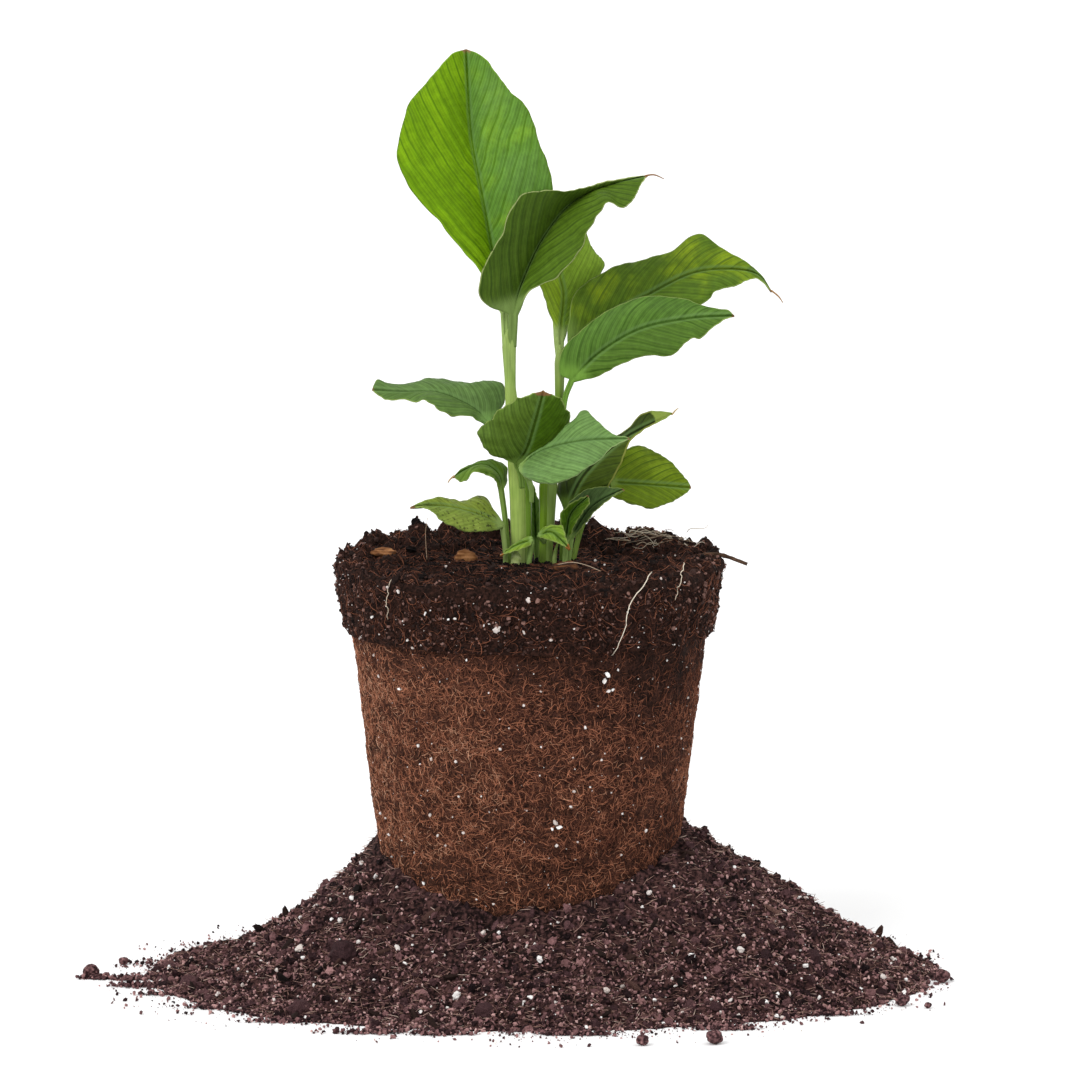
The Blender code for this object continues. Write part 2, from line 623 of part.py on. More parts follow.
def build_tube(name, path, radii, kind, sides=10):
    """A tapering tube along a path that lies on its side."""
    rings = []
    for k, (centre, radius) in enumerate(zip(path, radii)):
        ahead = (path[min(k + 1, len(path) - 1)] - path[max(k - 1, 0)]).normalized()
        turn = Vector((1, 0, 0)).rotation_difference(ahead)
        rings.append([
            centre + turn @ Vector((0, radius * math.cos(a), radius * math.sin(a)))
            for a in (2 * math.pi * i / sides for i in range(sides))
        ])
    return add_object(name, mesh_from_rings(name, rings), kind)


def build_chip(name, across, rearward, length, width):
    """A flake of bark that lies on the highest soil under it."""
    x, y = across * BALL_TOP_RADIUS, rearward * BALL_TOP_RADIUS
    outline = ((-0.5, -0.1), (-0.32, 0.42), (0.1, 0.5), (0.45, 0.3), (0.5, -0.15), (0.2, -0.5),
               (-0.3, -0.42))
    corners = [(u * length * MM, v * width * MM) for u, v in outline]
    under = [soil_height(x + u, y + v) for u, v in corners + [(0, 0)]]
    place = Vector((x, y, max(under) + 2 * GAP))
    inner = 0.8  # size of the flake's faces against its middle
    rings = [
        [Vector((u * inner, v * inner, 0)) for u, v in corners],
        [Vector((u, v, 0.35 * CHIP_THICKNESS)) for u, v in corners],
        [Vector((u, v, 0.7 * CHIP_THICKNESS)) for u, v in corners],
        [Vector((u * inner, v * inner, CHIP_THICKNESS)) for u, v in corners],
    ]
    return add_object(name, mesh_from_rings(name, rings), "chip", place)


def build_clod(name, bearing, beyond, share):
    """A lump of soil, slightly flattened, that rests on the floor beyond the heap."""
    radius = CLOD_RADIUS * share
    angle = math.radians(bearing)
    out = heap_reach(angle) + beyond * MM + radius
    x, y = out * math.cos(angle), out * math.sin(angle)
    bm = bmesh.new()
    bmesh.ops.create_icosphere(bm, subdivisions=2, radius=radius)
    for vert in bm.verts:
        lump = 1 + 0.28 * lumps(vert.co.x + bearing * MM, vert.co.y, vert.co.z, radius)
        vert.co *= lump
        vert.co.z *= 0.8
    lowest = min(vert.co.z for vert in bm.verts)
    mesh = bpy.data.meshes.new(name)
    bm.to_mesh(mesh)
    bm.free()
    return add_object(name, mesh, "heap", (x, y, -lowest))


def build_well(name, x, y, radius):
    """The hole that a rooted piece needs in the ball, with its clearance."""
    bm = bmesh.new()
    wall = radius + GAP
    deep = ROOTED + GAP
    bmesh.ops.create_cone(
        bm, cap_ends=True, segments=16, radius1=wall, radius2=wall, depth=deep + WELL_RISE)
    mesh = bpy.data.meshes.new(name)
    bm.to_mesh(mesh)
    bm.free()
    well = add_object(name, mesh, "ball", (x, y, SOIL_LEVEL + (WELL_RISE - deep) / 2))
    return as_cutter(well)


def as_cutter(thing):
    thing.hide_render = True
    thing.display_type = "WIRE"
    return thing


def main():
    clear_scene()
    plant = bpy.data.objects.new("plant", None)
    plant.location = (0, 0, SOIL_LEVEL)
    bpy.context.scene.collection.objects.link(plant)

    wells = []
    for shoot in (LEFT_SHOOT, RIGHT_SHOOT):
        build_shoot(shoot, plant)
        foot, radius = shoot.at(0.0)
        wells.append(build_well(f"{shoot.name}_well", foot.x, foot.y, radius))
    for leaf in LEAVES:
        build_leaf(leaf, plant)
        if leaf.rooted:
            foot = leaf.foot()
            wells.append(build_well(f"{leaf.name}_well", foot.x, foot.y, leaf.radius))
    for name, x, y, radius, height, lean in BUDS:
        build_bud(name, x, y, radius, height, lean, plant)
        wells.append(build_well(f"{name}_well", x * MM, y * MM, radius))
    radii = TWIG_RADIUS * np.linspace(1.0, TWIG_TAPER, 9)
    build_tube("twig", twig_path(0), radii, "twig")
    wells.append(as_cutter(build_tube("twig_well", twig_path(GAP), radii + 1.2 * GAP, "ball")))

    build_root_ball(wells)
    build_heap()
    for chip in CHIPS:
        build_chip(*chip)
    for number, clod in enumerate(CLODS, start=1):
        build_clod(f"clod_{number}", *clod)


main()
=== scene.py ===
"""Looks of a young turmeric plant whose bare root ball stands in a heap of potting soil.

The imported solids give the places; every visible surface is made here: blades with pleats and
veins, ridged shoots, a root ball bound in fine roots, and a heap of crumbs, fibres and white
grains. Lengths are in metres unless a name or a docstring says millimetres.
"""

import logging
import math
from dataclasses import dataclass
from enum import Enum
from typing import Optional, Sequence, Union

import bmesh
import bpy
import numpy as np
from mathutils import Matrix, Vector, noise


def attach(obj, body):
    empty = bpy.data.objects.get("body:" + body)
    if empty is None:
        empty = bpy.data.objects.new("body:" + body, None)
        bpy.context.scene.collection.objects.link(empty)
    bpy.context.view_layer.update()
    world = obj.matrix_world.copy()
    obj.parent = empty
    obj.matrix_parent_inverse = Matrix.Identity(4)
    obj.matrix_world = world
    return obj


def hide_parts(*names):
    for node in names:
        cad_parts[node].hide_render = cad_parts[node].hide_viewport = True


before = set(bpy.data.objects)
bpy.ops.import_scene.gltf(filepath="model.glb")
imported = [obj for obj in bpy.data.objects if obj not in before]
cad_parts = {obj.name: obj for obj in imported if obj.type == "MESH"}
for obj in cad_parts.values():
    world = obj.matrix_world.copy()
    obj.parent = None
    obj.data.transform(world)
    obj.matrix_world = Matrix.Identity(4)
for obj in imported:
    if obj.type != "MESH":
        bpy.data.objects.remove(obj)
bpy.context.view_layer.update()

LOG = logging.getLogger("turmeric")
MM = 0.001
BODY = "root"

TURN = 2 * math.pi
Colour = tuple[float, float, float]
Point = tuple[float, float, float]
Lift = Union[np.ndarray, float]
Random = np.random.Generator


# --- shader tools -----------------------------------------------------------------------


class Signal:
    """A number that varies over a surface: a socket that can stand in an expression."""

    def __init__(self, graph: "Graph", socket: bpy.types.NodeSocket) -> None:
        """Wraps one output socket of a graph."""
        self.graph = graph
        self.socket = socket

    def maths(self, operation: str, *values: "Number") -> "Signal":
        """Adds one Math node."""
        node = self.graph.node("ShaderNodeMath", {"operation": operation}, dict(enumerate(values)))
        return Signal(self.graph, node.outputs[0])

    def __add__(self, other: "Number") -> "Signal":
        """self + other."""
        return self.maths("ADD", self, other)

    def __radd__(self, other: "Number") -> "Signal":
        """other + self."""
        return self.maths("ADD", other, self)

    def __sub__(self, other: "Number") -> "Signal":
        """self - other."""
        return self.maths("SUBTRACT", self, other)

    def __rsub__(self, other: "Number") -> "Signal":
        """other - self."""
        return self.maths("SUBTRACT", other, self)

    def __mul__(self, other: "Number") -> "Signal":
        """self * other."""
        return self.maths("MULTIPLY", self, other)

    def __rmul__(self, other: "Number") -> "Signal":
        """other * self."""
        return self.maths("MULTIPLY", other, self)

    def __truediv__(self, other: "Number") -> "Signal":
        """self / other."""
        return self.maths("DIVIDE", self, other)

    def __abs__(self) -> "Signal":
        """The size of self without its sign."""
        return self.maths("ABSOLUTE", self)

    def wave(self) -> "Signal":
        """A wave from 0 to 1 and back for every whole step of self."""
        return self.maths("SINE", self * TURN) * 0.5 + 0.5

    def between(self, low: float, high: float) -> "Signal":
        """A smooth step.

        Args:
            low: where the step starts.
            high: where it ends, above low.

        Returns:
            0 below low and 1 above high.
        """
        node = self.graph.node(
            "ShaderNodeMapRange",
            {"interpolation_type": "SMOOTHSTEP"},
            {"Value": self, "From Min": low, "From Max": high},
        )
        return Signal(self.graph, node.outputs[0])


Number = Union[Signal, float, int]
Paint = Union[bpy.types.NodeSocket, Colour]


class Graph:
    """A material with a Principled shader, and the methods that add to its nodes."""

    def __init__(self, name: str, roughness: float = 0.8, specular: float = 0.25) -> None:
        """Makes the material.

        Args:
            name: the material's name.
            roughness: its roughness where nothing varies it.
            specular: its specular level, the same all over.
        """
        self.material = bpy.data.materials.new(name)
        self.material.use_nodes = True
        self.tree = self.material.node_tree
        self.shader = self.tree.nodes["Principled BSDF"]
        self.shader.inputs["Roughness"].default_value = roughness
        self.shader.inputs["Specular IOR Level"].default_value = specular

    def node(
        self, kind: str, settings: Optional[dict] = None, values: Optional[dict] = None
    ) -> bpy.types.Node:
        """Adds a node of any kind.

        Args:
            kind: the node's type.
            settings: its properties, and "stops" for a ramp as (place, colour) pairs.
            values: numbers, colours, sockets or signals for its inputs, by name or number.

        Returns:
            The node.
        """
        made = self.tree.nodes.new(kind)
        for name, value in (settings or {}).items():
            if name == "stops":
                self._set_stops(made.color_ramp, value)
            else:
                setattr(made, name, value)
        for key, value in (values or {}).items():
            self.feed(made.inputs[key], value)
        return made

    @staticmethod
    def _set_stops(ramp: bpy.types.ColorRamp, stops: Sequence[tuple[float, Colour]]) -> None:
        """Puts the stops on a ramp, from left to right.

        Args:
            ramp: the ramp.
            stops: (place, colour) pairs.
        """
        while len(ramp.elements) < len(stops):
            ramp.elements.new(1.0)
        for element, (place, colour) in zip(ramp.elements, stops):
            element.position = place
            element.color = (*colour, 1.0)

    def feed(self, socket: bpy.types.NodeSocket, value: "Union[Number, Paint]") -> None:
        """Links a signal or a socket to an input, or sets a number or a colour on it.

        Args:
            socket: the input.
            value: what it gets.
        """
        if isinstance(value, Signal):
            value = value.socket
        if isinstance(value, bpy.types.NodeSocket):
            self.tree.links.new(value, socket)
        elif isinstance(value, tuple) and len(value) == 3 and len(socket.default_value) == 4:
            socket.default_value = (*value, 1.0)
        else:
            socket.default_value = value

    def attribute(self, name: str) -> Signal:
        """A number that the mesh carries on its points."""
        return Signal(self, self.node("ShaderNodeAttribute", {"attribute_name": name}).outputs["Fac"])

    def place(self, stretch: Point = (1.0, 1.0, 1.0)) -> bpy.types.NodeSocket:
        """The object's own coordinates, stretched along its axes.

        Args:
            stretch: how much denser they are along each axis.

        Returns:
            The coordinates.
        """
        spot = self.node("ShaderNodeTexCoord").outputs["Object"]
        made = self.node("ShaderNodeVectorMath", {"operation": "MULTIPLY"}, {0: spot, 1: stretch})
        return made.outputs[0]

    def noise(self, grain: float, detail: float = 3.0, stretch: Point = (1.0, 1.0, 1.0)) -> Signal:
        """A cloudy pattern from 0 to 1.

        Args:
            grain: the size of its clouds, in millimetres.
            detail: how many finer layers it has.
            stretch: how much denser it is along each axis.

        Returns:
            The pattern.
        """
        node = self.node(
            "ShaderNodeTexNoise",
            None,
            {"Vector": self.place(stretch), "Scale": 1 / (grain * MM), "Detail": detail},
        )
        return Signal(self, node.outputs["Fac"])

    def threads(self, grain: float, width: float, stretch: Point = (1.0, 1.0, 1.0)) -> Signal:
        """Thin wandering lines, 1 on each line and 0 between them."""
        away = abs(self.noise(grain, 1.0, stretch) - 0.5)
        return 1 - away.between(width * 0.12, width * 0.4)

    def mix(self, first: Paint, second: Paint, share: Number) -> bpy.types.NodeSocket:
        """Goes from the first colour to the second as the share goes from 0 to 1."""
        node = self.node("ShaderNodeMix", {"data_type": "RGBA"}, {0: share, 6: first, 7: second})
        return node.outputs[2]

    def scale(self, colour: Paint, share: Number) -> bpy.types.NodeSocket:
        """A colour made darker or lighter by a factor."""
        node = self.node("ShaderNodeVectorMath", {"operation": "SCALE"}, {0: colour, "Scale": share})
        return node.outputs[0]

    def finish(
        self,
        colour: Paint,
        roughness: Optional[Number] = None,
        height: Optional[Signal] = None,
        relief: float = 0.1,
    ) -> bpy.types.Material:
        """Wires the shader.

        Args:
            colour: the base colour.
            roughness: what varies the roughness, if anything does.
            height: a pattern from 0 to 1 that becomes fine relief.
            relief: how high that pattern stands, in millimetres.

        Returns:
            The finished material.
        """
        self.feed(self.shader.inputs["Base Color"], colour)
        if roughness is not None:
            self.feed(self.shader.inputs["Roughness"], roughness)
        if height is not None:
            bump = self.node("ShaderNodeBump", None, {"Height": height, "Distance": relief * MM})
            self.feed(self.shader.inputs["Normal"], bump.outputs[0])
        return self.material


# --- finishes ---------------------------------------------------------------------------


@dataclass(frozen=True)
class BladeFinish:
    """How one leaf is coloured. Its two halves differ, as they catch the light differently."""

    slot: str = "leaf"
    left: Colour = (0.07, 0.15, 0.012)
    right: Colour = (0.09, 0.19, 0.02)
    patch: Colour = (0.13, 0.23, 0.01)
    patches: float = 0.25
    # sheen, sheen_left and sheen_right: a painted sheen, the sky's reflection painted into the colour of
    # each half
    sheen: Colour = (0.13, 0.23, 0.07)
    sheen_left: float = 0.0
    sheen_right: float = 0.0
    # the veins' own colour, also used as painted shade in the pleats' folds and the midrib's groove
    vein_and_shade: Colour = (0.03, 0.08, 0.006)
    veins: float = 0.6
    spacing: float = 6.5
    petiole: Colour = (0.20, 0.31, 0.08)
    margin: Colour = (0.24, 0.32, 0.08)
    margin_width: float = 0.5
    tip: Colour = (0.20, 0.11, 0.05)
    tip_share: float = 0.975
    spots: float = 0.0
    under: Colour = (0.15, 0.25, 0.07)

    def material(self, name: str) -> bpy.types.Material:
        """Builds the leaf's material.

        Args:
            name: the material's name.

        Returns:
            The material, which reads along, across, offset, phase and under from the mesh.
        """
        graph = Graph(name, roughness=0.5, specular=0.07)
        along = graph.attribute("along")
        across = graph.attribute("across")
        offset = graph.attribute("offset")
        phase = graph.attribute("phase")
        under = graph.attribute("under").between(0.3, 0.7)
        blade = graph.attribute("blade").between(0.25, 1.0)
        side = across.between(-0.03, 0.03)
        cloud = graph.noise(14.0, 4.0)
        mottle = graph.noise(2.6, 5.0)

        colour = graph.mix(self.left, self.right, side)
        streak = (phase / 2.7 + mottle * 0.3).wave() * 0.5 + 0.5
        colour = graph.mix(colour, self.patch, cloud.between(0.42, 0.75) * streak * (self.patches * 1.6))
        # painted sheen: the sky's reflection painted in broad patches over each half
        if self.sheen_left or self.sheen_right:
            shine = graph.noise(20.0, 2.0).between(0.3, 0.7) * 0.6 + 0.4
            share = side * self.sheen_right + (1 - side) * self.sheen_left
            colour = graph.mix(colour, self.sheen, share * shine)
        # side veins: a few strong lines, with ever finer ones between them; the strong lines are vein colour
        # with painted shade in the pleats' folds, and swell paints light on the ridge beside each
        drift = graph.noise(16.0, 1.0)
        strong = (phase / self.spacing + drift * 0.8 + mottle * 0.06).wave()
        line = strong.between(0.84, 1.0) * (0.35 + 0.65 * cloud.between(0.35, 0.65))
        middling = (phase / 2.7 + drift * 1.2 + mottle * 0.12).wave()
        fine = (phase / 1.15 + drift * 1.2 + mottle * 0.25).wave()
        finer = (phase / 0.45 + mottle * 0.8).wave()
        lines = 0.20 * middling.between(0.2, 0.9) + 0.22 * fine + 0.08 * finer
        # painted light on each pleat's ridge, beside its strong line
        swell = (phase / self.spacing + drift * 0.8 + 0.3).wave()
        colour = graph.scale(colour, 0.52 + lines + 0.13 * swell + 0.7 * (mottle - 0.5) + 0.46 * cloud)
        colour = graph.mix(colour, self.vein_and_shade, line * self.veins)
        # midrib: a dark groove, vein colour with painted shade, and a painted highlight on the shoulder
        # beside it
        near = abs(offset)
        groove = 1 - near.between(0.15, 0.65)
        shoulder_highlight = near.between(0.4, 0.8) * (1 - near.between(1.0, 2.2))
        colour = graph.mix(colour, self.sheen, shoulder_highlight * 0.45)
        colour = graph.mix(colour, self.vein_and_shade, groove * 0.75)
        # ageing: spots, a pale margin and a dry tip
        if self.spots:
            speck = graph.noise(1.5, 2.0).between(0.58, 0.63)
            spread = graph.noise(11.0, 2.0).between(0.38, 0.52)
            colour = graph.mix(colour, (0.02, 0.018, 0.01), speck * spread * self.spots)
        edge = graph.attribute("inset")
        rim = 1 - edge.between(self.margin_width * 0.45, self.margin_width)
        colour = graph.mix(colour, self.margin, rim * 0.85)
        # the underside is duller, with its midrib standing out pale
        pale = graph.scale(self.under, 0.8 + 0.2 * fine + 0.25 * (mottle - 0.5))
        pale = graph.mix(pale, (0.28, 0.38, 0.14), groove * 0.8)
        colour = graph.mix(colour, pale, under)
        # the petiole is pale and ridged, and runs up into the midrib
        ridge = graph.noise(1.1, 2.0, (1.0, 1.0, 0.06))
        stalk = graph.scale(self.petiole, 0.72 + 0.56 * ridge)
        colour = graph.mix(stalk, colour, blade)
        dry = (along + (mottle - 0.5) * 0.05).between(self.tip_share, min(self.tip_share + 0.02, 0.999))
        colour = graph.mix(colour, self.tip, dry)
        relief = fine * 0.5 + finer * 0.2 + mottle * 0.5 + ridge * (1 - blade)
        roughness = 0.42 + 0.16 * mottle + 0.12 * under
        return graph.finish(colour, roughness, relief, 0.07)


@dataclass(frozen=True)
class ShootFinish:
    """The two overlapping sheaths of a shoot, paler where they part."""

    outer: Colour = (0.29, 0.40, 0.09)
    inner: Colour = (0.13, 0.24, 0.02)
    foot: Colour = (0.36, 0.42, 0.18)
    slot: str = "stem"
    head: Colour = (0.22, 0.31, 0.08)

    def material(self, name: str) -> bpy.types.Material:
        """Builds the shoot's material, which reads lobe and height from the mesh.

        Args:
            name: the material's name.

        Returns:
            The material.
        """
        graph = Graph(name, roughness=0.45, specular=0.15)
        height = graph.attribute("height")
        ridge = graph.noise(0.9, 2.0, (1.0, 1.0, 0.03))
        fine = graph.noise(0.35, 1.0, (1.0, 1.0, 0.02))
        cloud = graph.noise(9.0, 3.0)
        colour = graph.mix(self.outer, self.inner, graph.attribute("lobe").between(0.35, 0.65))
        colour = graph.mix(colour, self.foot, (1 - height.between(0.0, 12.0)) * 0.35)
        colour = graph.mix(colour, self.head, height.between(62.0, 84.0))
        colour = graph.mix(colour, self.inner, cloud.between(0.45, 0.75) * 0.35)
        colour = graph.scale(colour, 0.42 + 0.85 * ridge + 0.35 * fine)
        return graph.finish(colour, 0.34 + 0.2 * ridge, ridge + fine * 0.4, 0.12)


@dataclass(frozen=True)
class GroundFinish:
    """A soil surface under its crumbs, with a web of fine roots where thread is given."""

    dark: Colour
    light: Colour
    slot: str
    grain: float = 1.6
    thread: Optional[Colour] = None

    def material(self, name: str) -> bpy.types.Material:
        """Builds the soil's material, which reads shade and web from the mesh.

        Args:
            name: the material's name.

        Returns:
            The material.
        """
        graph = Graph(name, roughness=0.95, specular=0.08)
        coarse = graph.noise(self.grain * 5, 4.0)
        fine = graph.noise(self.grain, 6.0)
        speck = graph.noise(self.grain * 0.35, 2.0)
        share = (fine * 0.7 + coarse * 0.3).between(0.4, 0.66)
        colour = graph.mix(self.dark, self.light, share)
        colour = graph.scale(colour, 0.4 + 1.2 * speck)
        height = fine + speck * 0.5
        if self.thread:
            web = graph.threads(3.1, 0.09) * 0.8
            for grain, stretch in ((2.3, (1.3, 1.0, 0.6)), (1.7, (0.7, 1.2, 1.4)), (1.2, (1.0, 0.8, 1.1))):
                web = web.maths("MAXIMUM", web, graph.threads(grain, 0.11, stretch) * (0.55 + 0.45 * coarse))
            web = web * graph.attribute("web")
            tint = graph.scale(self.thread, 0.2 + 1.5 * coarse)
            colour = graph.mix(colour, tint, web)
            height = height * 0.5 + web
        # the mesh's shade sets the brightness; on the ball's side it holds painted shade towards the right
        colour = graph.scale(colour, 0.4 + 1.2 * graph.attribute("shade"))
        return graph.finish(colour, 0.82 + 0.16 * coarse, height, 0.8)


@dataclass(frozen=True)
class GrainFinish:
    """Loose grains or fibres: each has its own shade, read along a ramp of colours."""

    stops: tuple[tuple[float, Colour], ...]
    slot: str
    roughness: float = 0.9
    relief: float = 0.15
    grain: float = 0.5

    def material(self, name: str) -> bpy.types.Material:
        """Builds the grains' material, which reads shade from the mesh.

        Args:
            name: the material's name.

        Returns:
            The material.
        """
        graph = Graph(name, roughness=self.roughness, specular=0.1)
        fine = graph.noise(self.grain, 3.0)
        shade = graph.attribute("shade") + (fine - 0.5) * 0.4
        ramp = graph.node("ShaderNodeValToRGB", {"stops": self.stops}, {"Fac": shade})
        colour = graph.scale(ramp.outputs["Color"], 0.75 + 0.5 * fine)
        return graph.finish(colour, self.roughness - 0.1 + 0.2 * fine, fine, self.relief)


Finish = Union[ShootFinish, GroundFinish, GrainFinish]
MAP_EDGE = 0.01  # empty border of a flat map, as a share of its side

HEAP_GROUND = GroundFinish((0.006, 0.003, 0.003), (0.085, 0.040, 0.037), "loose_soil")
BALL_GROUND = GroundFinish(
    (0.006, 0.003, 0.002), (0.060, 0.026, 0.020), "rooted_soil", 1.2, thread=(0.16, 0.062, 0.036))
CRUMB = GrainFinish(
    (
        (0.0, (0.005, 0.0025, 0.003)),
        (0.25, (0.050, 0.024, 0.026)),
        (0.55, (0.185, 0.092, 0.092)),
        (0.8, (0.42, 0.235, 0.225)),
        (1.0, (0.62, 0.42, 0.39)),
    ),
    "loose_soil",
    relief=0.3,
)
DARK_CRUMB = GrainFinish(
    (
        (0.0, (0.004, 0.003, 0.003)),
        (0.45, (0.020, 0.011, 0.009)),
        (0.8, (0.065, 0.033, 0.027)),
        (1.0, (0.20, 0.11, 0.09)),
    ),
    "rooted_soil",
    relief=0.3,
)
ROOT_MAT = GrainFinish(
    (
        (0.0, (0.022, 0.008, 0.006)),
        (0.25, (0.100, 0.036, 0.022)),
        (0.55, (0.31, 0.115, 0.064)),
        (0.85, (0.53, 0.210, 0.115)),
        (1.0, (0.64, 0.35, 0.22)),
    ),
    "rooted_soil",
    roughness=0.75,
)
FIBRE = GrainFinish(
    (
        (0.0, (0.06, 0.028, 0.022)),
        (0.4, (0.20, 0.105, 0.085)),
        (0.75, (0.42, 0.26, 0.21)),
        (1.0, (0.68, 0.54, 0.45)),
    ),
    "loose_soil",
    roughness=0.8,
)
WHITE_GRAIN = GrainFinish(
    ((0.0, (0.55, 0.47, 0.43)), (0.6, (0.78, 0.74, 0.71)), (1.0, (0.92, 0.91, 0.9))),
    "loose_soil",
    roughness=0.85,
    relief=0.3,
)
PALE_ROOT = GrainFinish(
    ((0.0, (0.30, 0.19, 0.12)), (0.5, (0.52, 0.42, 0.31)), (1.0, (0.78, 0.72, 0.60))),
    "rooted_soil",
    roughness=0.55,
)
BARK = GrainFinish(
    ((0.0, (0.03, 0.013, 0.008)), (0.5, (0.15, 0.058, 0.02)), (1.0, (0.36, 0.17, 0.07))),
    "bark",
    roughness=0.7,
    relief=0.3,
    grain=1.4,
)
TWIG = GrainFinish(
    ((0.0, (0.02, 0.012, 0.008)), (0.6, (0.065, 0.036, 0.022)), (1.0, (0.15, 0.09, 0.06))),
    "twig",
    roughness=0.8,
    relief=0.25,
    grain=1.0,
)
DRY_TIP = GrainFinish(
    ((0.0, (0.13, 0.06, 0.03)), (0.5, (0.30, 0.17, 0.08)), (1.0, (0.55, 0.42, 0.22))),
    "old_leaf",
    roughness=0.7,
)


# --- mesh tools -------------------------------------------------------------------------


def smooth_curve(points: Sequence, shares: np.ndarray) -> np.ndarray:
    """Reads a smooth curve through points.

    Args:
        points: what the curve runs through.
        shares: shares of its length to read it at.

    Returns:
        One point for each share.
    """
    way = np.array([tuple(p) for p in points], float)
    padded = np.vstack([2 * way[0] - way[1], way, 2 * way[-1] - way[-2]])
    t = np.linspace(0, 1, 12, endpoint=False)[:, None]
    fine = []
    for a, b, c, d in zip(padded, padded[1:], padded[2:], padded[3:]):
        bend = 2 * a - 5 * b + 4 * c - d
        fine.append(0.5 * (2 * b + (c - a) * t + bend * t**2 + (3 * b - a - 3 * c + d) * t**3))
    fine = np.vstack(fine + [way[-1:]])
    run = np.concatenate([[0], np.cumsum(np.linalg.norm(np.diff(fine, axis=0), axis=1))])
    return np.stack([np.interp(shares * run[-1], run, fine[:, k]) for k in range(3)], 1)


def unit(vectors: np.ndarray) -> np.ndarray:
    """Vectors at length 1, along the last axis."""
    return vectors / np.maximum(np.linalg.norm(vectors, axis=-1, keepdims=True), 1e-12)


def ease(value: np.ndarray) -> np.ndarray:
    """0 up to 0, 1 from 1, and a smooth step between."""
    t = np.clip(value, 0, 1)
    return t * t * (3 - 2 * t)


def roughen(points: np.ndarray, grain: float, seed: float = 0.0) -> np.ndarray:
    """A lumpy pattern between -1 and 1 at each point."""
    scaled = points / (grain * MM) + seed
    return np.array([noise.noise(Vector(p)) for p in scaled])


def ring_round(paths: np.ndarray, sides: int) -> np.ndarray:
    """Unit circles square to paths.

    Args:
        paths: middles, as (..., points, 3).
        sides: points in each circle.

    Returns:
        The circles' points about their middles, as (..., points, sides, 3).
    """
    ahead = unit(np.gradient(paths, axis=-2))
    spare = np.where(np.abs(ahead[..., :1, 2:]) < 0.8, (0.0, 0.0, 1.0), (1.0, 0.0, 0.0))
    right = unit(np.cross(ahead, spare))
    up = np.cross(ahead, right)
    turn = TURN * np.arange(sides) / sides
    return right[..., None, :] * np.cos(turn)[:, None] + up[..., None, :] * np.sin(turn)[:, None]


def grid(rows: int, around: int) -> tuple[np.ndarray, np.ndarray]:
    """Quads over rows of points, each row closed on itself.

    Args:
        rows: how many rows there are.
        around: points in each row.

    Returns:
        Point numbers as (quads, 4), and a flat map as (quads, 4, 2): across, then along.
    """
    k, i = np.meshgrid(np.arange(rows - 1), np.arange(around), indexing="ij")
    j = (i + 1) % around
    low, high = k * around, (k + 1) * around
    quads = np.stack([low + i, low + j, high + j, high + i], -1)
    ends = ((0, 0), (1, 0), (1, 1), (0, 1))
    flat = np.stack([np.stack([(i + a) / around, (k + b) / (rows - 1)], -1) for a, b in ends], -2)
    return quads.reshape(-1, 4), flat.reshape(-1, 4, 2)


def ripple(t: np.ndarray, waves: float, seed: int) -> np.ndarray:
    """An uneven wave along t, between about -1 and 1.

    Args:
        t: places along the wave.
        waves: how many slow waves there are from 0 to 1.
        seed: chooses the pattern.

    Returns:
        The height at each place.
    """
    rng = np.random.default_rng(seed)
    total = np.zeros_like(t)
    for share, faster in ((0.55, 1.0), (0.3, 1.9), (0.2, 3.3)):
        total += share * np.sin(TURN * (waves * faster * t + rng.random()))
    return total


def make_piece(
    name: str,
    points: np.ndarray,
    faces: np.ndarray,
    material: bpy.types.Material,
    stands_for: Sequence[str] = (),
    attributes: Optional[dict[str, np.ndarray]] = None,
    corners: Optional[np.ndarray] = None,
    smooth: bool = True,
) -> bpy.types.Object:
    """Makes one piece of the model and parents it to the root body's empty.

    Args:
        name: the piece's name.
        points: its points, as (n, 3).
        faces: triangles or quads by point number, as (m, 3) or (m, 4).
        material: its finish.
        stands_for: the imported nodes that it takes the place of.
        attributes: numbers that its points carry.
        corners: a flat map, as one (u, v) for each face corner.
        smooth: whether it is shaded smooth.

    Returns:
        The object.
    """
    mesh = bpy.data.meshes.new(name)
    size = faces.shape[1]
    mesh.vertices.add(len(points))
    mesh.vertices.foreach_set("co", np.ascontiguousarray(points, np.float32).ravel())
    mesh.loops.add(faces.size)
    mesh.loops.foreach_set("vertex_index", np.ascontiguousarray(faces, np.int32).ravel())
    mesh.polygons.add(len(faces))
    mesh.polygons.foreach_set("loop_start", np.arange(0, faces.size, size, dtype=np.int32))
    mesh.update(calc_edges=True)
    for key, values in (attributes or {}).items():
        layer = mesh.attributes.new(key, "FLOAT", "POINT")
        layer.data.foreach_set("value", np.ascontiguousarray(values, np.float32).ravel())
    if corners is not None:
        layer = mesh.uv_layers.new(name="OFBake")
        layer.data.foreach_set("uv", np.ascontiguousarray(corners, np.float32).ravel())
    mesh.polygons.foreach_set("use_smooth", np.full(len(faces), smooth))
    mesh.materials.append(material)
    piece = bpy.data.objects.new(name, mesh)
    bpy.context.scene.collection.objects.link(piece)
    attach(piece, BODY)
    if stands_for:
        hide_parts(*stands_for)
    LOG.info("%s: %d points, %d faces", name, len(points), len(faces))
    return piece


def cell_map(count: int, inside: np.ndarray) -> np.ndarray:
    """A flat map that gives each of many small bodies a square cell of its own.

    Args:
        count: how many bodies there are.
        inside: one body's corners in its cell, as (corners, 2) between 0 and 1.

    Returns:
        The corners of all the bodies, one after the other.
    """
    across = math.ceil(math.sqrt(count))
    number = np.arange(count)
    origin = np.stack([number % across, number // across], 1)
    spread = 0.06 + 0.88 * inside
    return ((origin[:, None, :] + spread[None]) / across).reshape(-1, 2)


